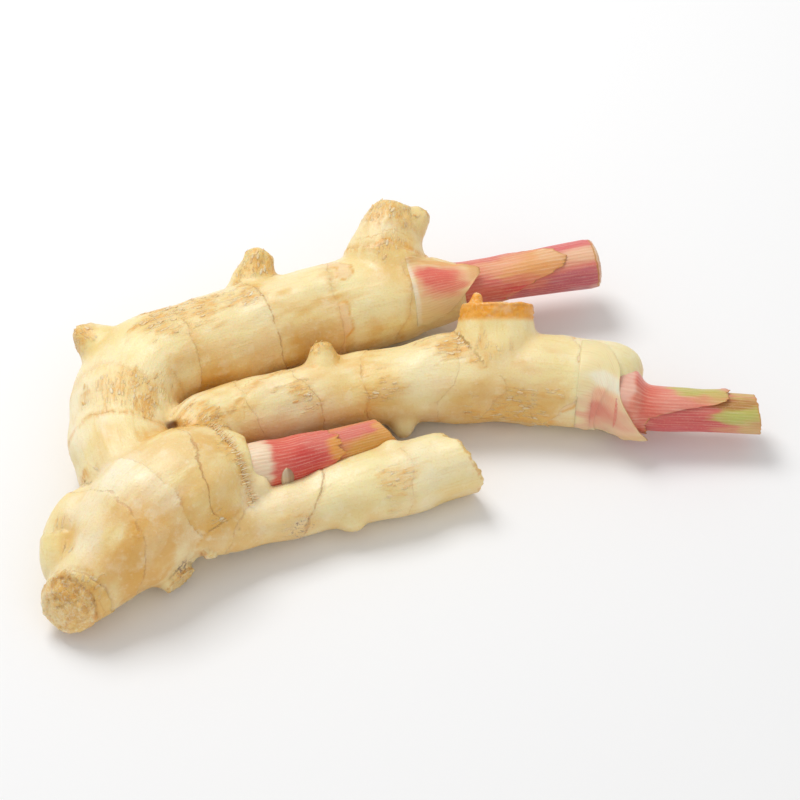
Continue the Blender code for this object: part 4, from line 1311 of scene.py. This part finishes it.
def makeBudScale(look):  # a small brownish scale on the foot of the centre shoot
    share, side = np.meshgrid(np.linspace(0, 1, 18), np.linspace(-1, 1, 15), indexing="ij")
    degrees = look["foot"] + (look["tip"] - look["foot"]) * share
    half = look["halfWidth"] * np.sqrt(np.clip(1 - share**2.4, 0.004, 1)) * (0.75 + 0.5 * share * (1 - share))
    along = look["along"] + side * half
    centre, _, across, up, radius = trackAt(curveRows(shoots["centre_shoot"], 10), along)
    radial = outwards(np.radians(degrees), across, up)
    out = radius + 0.95 + look["rise"] * (1 - side**2) * (1 - 0.4 * share)
    outer = centre + out[..., None] * radial
    piece = thinShell("foot_bud_scale", outer, -radial, np.full(share.shape, 0.3), False)
    toEdge = np.minimum(1 - np.abs(side), 1 - share)
    tint = np.tile(linearColour("#D9C0A0"), (share.size, 1))
    tint = tintOver(tint, "#A98468", step(0.1, 0.9, side.ravel() * 0.6 + 0.5))
    leafAttributes(piece, tint, share * 4, side * half, np.exp(-toEdge / 0.12) * 0.6, 2)
    finishLeaf(piece, scaleSkin, None, 350)


makeBudScale(budScale)
skinFaces = [tuple(face.vertices) for face in rhizome.data.polygons]
skinTree = BVHTree.FromPolygons([Vector(point) for point in skinMap["points"]], skinFaces)
for number, (node, look) in enumerate(scaleLeaves.items()):
    makeScaleLeaf(node, look, 300 + 20 * number)
print("scale leaves done")

# One small shape for the fibres and one for the flakes, set on points of the skin
driedBits = {
    "fibreCount": 170, "fibreLength": 2.3, "fibreThickness": 0.15,  # mm
    "fibreBend": 90.0,  # 1/m
    "flakeCount": 300, "flakeLength": 0.9, "flakeWidth": 0.34, "flakeThickness": 0.035,  # half sizes in mm
    "flakeBend": 260.0,  # 1/m
    "seed": 11,
}


def turnedPoints(name, points, forward, outward, shade):  # points that carry a turn for each instance
    made = makeObject(name, points, [])
    forward = forward / np.linalg.norm(forward, axis=1)[:, None]
    side = np.cross(outward, forward)
    side /= np.linalg.norm(side, axis=1)[:, None]
    top = np.cross(forward, side)
    turns = [Matrix((f, l, t)).transposed().to_euler() for f, l, t in zip(forward, side, top)]
    setAttribute(made.data, "turn", np.array([tuple(t) for t in turns]), "FLOAT_VECTOR")
    setAttribute(made.data, "shade", shade)
    return made


def scatterTree(name, numbers, smallest, largest):  # one small shape on every point, turned and sized
    tree, given = nodeTree(name, (*numbers, "Seed"))
    turn = addNode(tree, "GeometryNodeInputNamedAttribute", {"Name": "turn"}, data_type="FLOAT_VECTOR")
    rotation = addNode(tree, "FunctionNodeEulerToRotation", [turn])
    size = addNode(
        tree, "FunctionNodeRandomValue", {2: smallest, 3: largest, "Seed": given["Seed"]}, out=1,
        data_type="FLOAT",
    )
    spots = addNode(tree, "GeometryNodeMeshToPoints", {"Mesh": given["Geometry"]})
    placed = addNode(
        tree, "GeometryNodeInstanceOnPoints", {"Points": spots, "Rotation": rotation, "Scale": size}
    )
    closeTree(tree, placed, given["Material"])
    return tree, given, placed


def bentAlong(tree, mesh, bend):  # curls a small shape upwards along its length
    here = addNode(tree, "GeometryNodeInputPosition")
    x = addNode(tree, "ShaderNodeSeparateXYZ", [here])
    squared = addNode(tree, "multiply", [x, x])
    lift = addNode(tree, "multiply", [squared, bend])
    offset = addNode(tree, "ShaderNodeCombineXYZ", {2: lift})
    return addNode(tree, "GeometryNodeSetPosition", {"Geometry": mesh, "Offset": offset})


def papery(name):  # dried skin: matt, thin and light, from cream to orange
    paper = bpy.data.materials.new(name)
    paper.use_nodes = True
    tree = paper.node_tree
    shader = tree.nodes["Principled BSDF"]
    shade = addNode(tree, "attribute", attribute_name="shade")
    spot = addNode(tree, "ShaderNodeTexCoord", out="Object")
    grain = addNode(tree, "noise", {"Vector": spot, "Scale": 1800.0, "Detail": 3.0})
    fine = addNode(tree, "multiply", [grain, 0.35])
    mixed = addNode(tree, "add", [shade, fine])
    stops = [(0.15, "#F8E9C6"), (0.5, "#EFC88E"), (0.8, "#E3A352"), (1.0, "#D0803A")]
    ramp = addNode(tree, "ShaderNodeValToRGB", [mixed], stops=stops)
    tree.links.new(ramp, shader.inputs["Base Color"])
    bump = addNode(tree, "ShaderNodeBump", {"Height": grain, "Distance": 0.08 * mm, "Strength": 0.6})
    tree.links.new(bump, shader.inputs["Normal"])
    shader.inputs["Roughness"].default_value = 0.55
    shader.inputs["Subsurface Weight"].default_value = 0.3
    shader.inputs["Subsurface Radius"].default_value = (1.0, 0.6, 0.3)
    shader.inputs["Subsurface Scale"].default_value = 0.6 * mm
    return paper


rng = np.random.default_rng(driedBits["seed"])
skinPoints, skinNormals, skinWhere = skinMap["points"], skinMap["normals"], skinMap["where"]
paperSkin = papery("driedPaperySkin")

# fibres stand along the heel's end, over the foot of the centre shoot
_, endMiddle, endNormal, _ = rings["heelEnd"]
endNormal = unit(endNormal)
endGap = (skinPoints - place(endMiddle)) @ endNormal
onEnd = (skinWhere["growth"] == 0) & (np.abs(endGap + 0.2) < 0.9) & (skinNormals[:, 2] > -0.2)
onEnd &= np.linalg.norm(skinPoints - place(endMiddle), axis=1) < 24
picked = rng.choice(np.flatnonzero(onEnd), driedBits["fibreCount"])
jitter = rng.normal(size=(len(picked), 3))
heading = endNormal + 0.15 * skinNormals[picked] + 0.22 * jitter
roots = skinPoints[picked] + 0.3 * jitter - 0.15 * skinNormals[picked]
fibres = turnedPoints(
    "heel_fringe", roots, heading, skinNormals[picked], rng.uniform(-0.15, 0.5, len(picked))
)
tree, given, placed = scatterTree("driedFibres", ("Length", "Thickness", "Bend"), 0.45, 1.25)
cone = addNode(
    tree,
    "GeometryNodeMeshCone",
    {
        "Vertices": 5, "Side Segments": 4, "Radius Bottom": given["Thickness"], "Radius Top": 0.00002,
        "Depth": given["Length"],
    },
)
laid = addNode(tree, "GeometryNodeTransform", {"Geometry": cone, "Rotation": (0, math.pi / 2, 0)})
tree.links.new(bentAlong(tree, laid, given["Bend"]), placed.node.inputs["Instance"])
runTree(
    fibres,
    tree,
    {
        "Material": paperSkin, "Length": driedBits["fibreLength"] * mm,
        "Thickness": driedBits["fibreThickness"] * mm, "Bend": driedBits["fibreBend"],
        "Seed": driedBits["seed"],
    },
)

# flakes lie where the skin has dried
chance = np.clip(skinMap["dry"] - 0.25, 0, 1) ** 1.2 * (skinMap["cap"] < 0.1) * (skinPoints[:, 2] > 3)
picked = rng.choice(len(skinPoints), driedBits["flakeCount"], replace=False, p=chance / chance.sum())
jitter = rng.normal(size=(len(picked), 3))
heading = skinWhere["axis"][picked] + 0.25 * jitter
heading -= (heading * skinNormals[picked]).sum(axis=1)[:, None] * skinNormals[picked]
heading += 0.12 * skinNormals[picked]
roots = skinPoints[picked] + 0.03 * skinNormals[picked]
flakes = turnedPoints("skin_flakes", roots, heading, skinNormals[picked], rng.uniform(0.1, 0.5, len(picked)))
tree, given, placed = scatterTree("skinFlakes", ("Length", "Width", "Thickness", "Bend"), 0.4, 1.3)
ball = addNode(tree, "GeometryNodeMeshUVSphere", {"Segments": 8, "Rings": 5, "Radius": 1.0})
sizes = addNode(tree, "ShaderNodeCombineXYZ", [given["Length"], given["Width"], given["Thickness"]])
thin = addNode(tree, "GeometryNodeTransform", {"Geometry": ball, "Scale": sizes})
tree.links.new(bentAlong(tree, thin, given["Bend"]), placed.node.inputs["Instance"])
runTree(flakes, tree, {
    "Material": paperSkin, "Length": driedBits["flakeLength"] * mm, "Width": driedBits["flakeWidth"] * mm,
    "Thickness": driedBits["flakeThickness"] * mm, "Bend": driedBits["flakeBend"], "Seed": driedBits["seed"],
})
for piece in (fibres, flakes):
    piece.data.shade_smooth()
    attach(piece, "root")
print("fibres and flakes done")

# high three-quarter view from the front, degrees and mm
view = {"elevation": 48, "distance": 617.2, "target": (-2.7, 4.8, 13.0), "lens": 100}
camera = bpy.data.objects.new("camera", bpy.data.cameras.new("camera"))
bpy.context.collection.objects.link(camera)
camera.data.lens = view["lens"]
camera.data.clip_start = 0.01
tilt = math.radians(view["elevation"])
outward = Vector((0, -math.cos(tilt), math.sin(tilt)))
camera.location = (Vector(view["target"]) + outward * view["distance"]) * mm
camera.rotation_euler = (-outward).to_track_quat("-Z", "Y").to_euler()
bpy.context.scene.camera = camera

tableHalf = 3000  # mm
corners = [(x * tableHalf, y * tableHalf, 0) for x, y in ((-1, -1), (1, -1), (1, 1), (-1, 1))]
floor = makeObject("floor", corners, [(0, 1, 2, 3)])
board = bpy.data.materials.new("whiteTable")  # matt painted board, so that only soft shadows show
board.use_nodes = True
board.node_tree.nodes["Principled BSDF"].inputs["Base Color"].default_value = (0.9, 0.9, 0.9, 1)
board.node_tree.nodes["Principled BSDF"].inputs["Roughness"].default_value = 0.9
floor.data.materials.append(board)

lights = {
    "topBack": {"at": (-0.3, 0.4, 0.75), "size": 0.4, "power": 4.5},
    "front": {"at": (0.35, -0.7, 0.5), "size": 0.8, "power": 0.8},
}
for name, lamp in lights.items():
    lightData = bpy.data.lights.new(name, "AREA")
    lightData.size = lamp["size"]
    lightData.energy = lamp["power"]
    light = bpy.data.objects.new(name, lightData)
    bpy.context.collection.objects.link(light)
    light.location = lamp["at"]
    light.rotation_euler = (-Vector(lamp["at"])).to_track_quat("-Z", "Y").to_euler()
world = bpy.data.worlds.new("softRoom")
bpy.context.scene.world = world
world.use_nodes = True
world.node_tree.nodes["Background"].inputs[0].default_value = (1, 1, 1, 1)
world.node_tree.nodes["Background"].inputs[1].default_value = 0.6
bpy.context.scene.view_settings.view_transform = "Standard"
print("camera, floor and lights done")
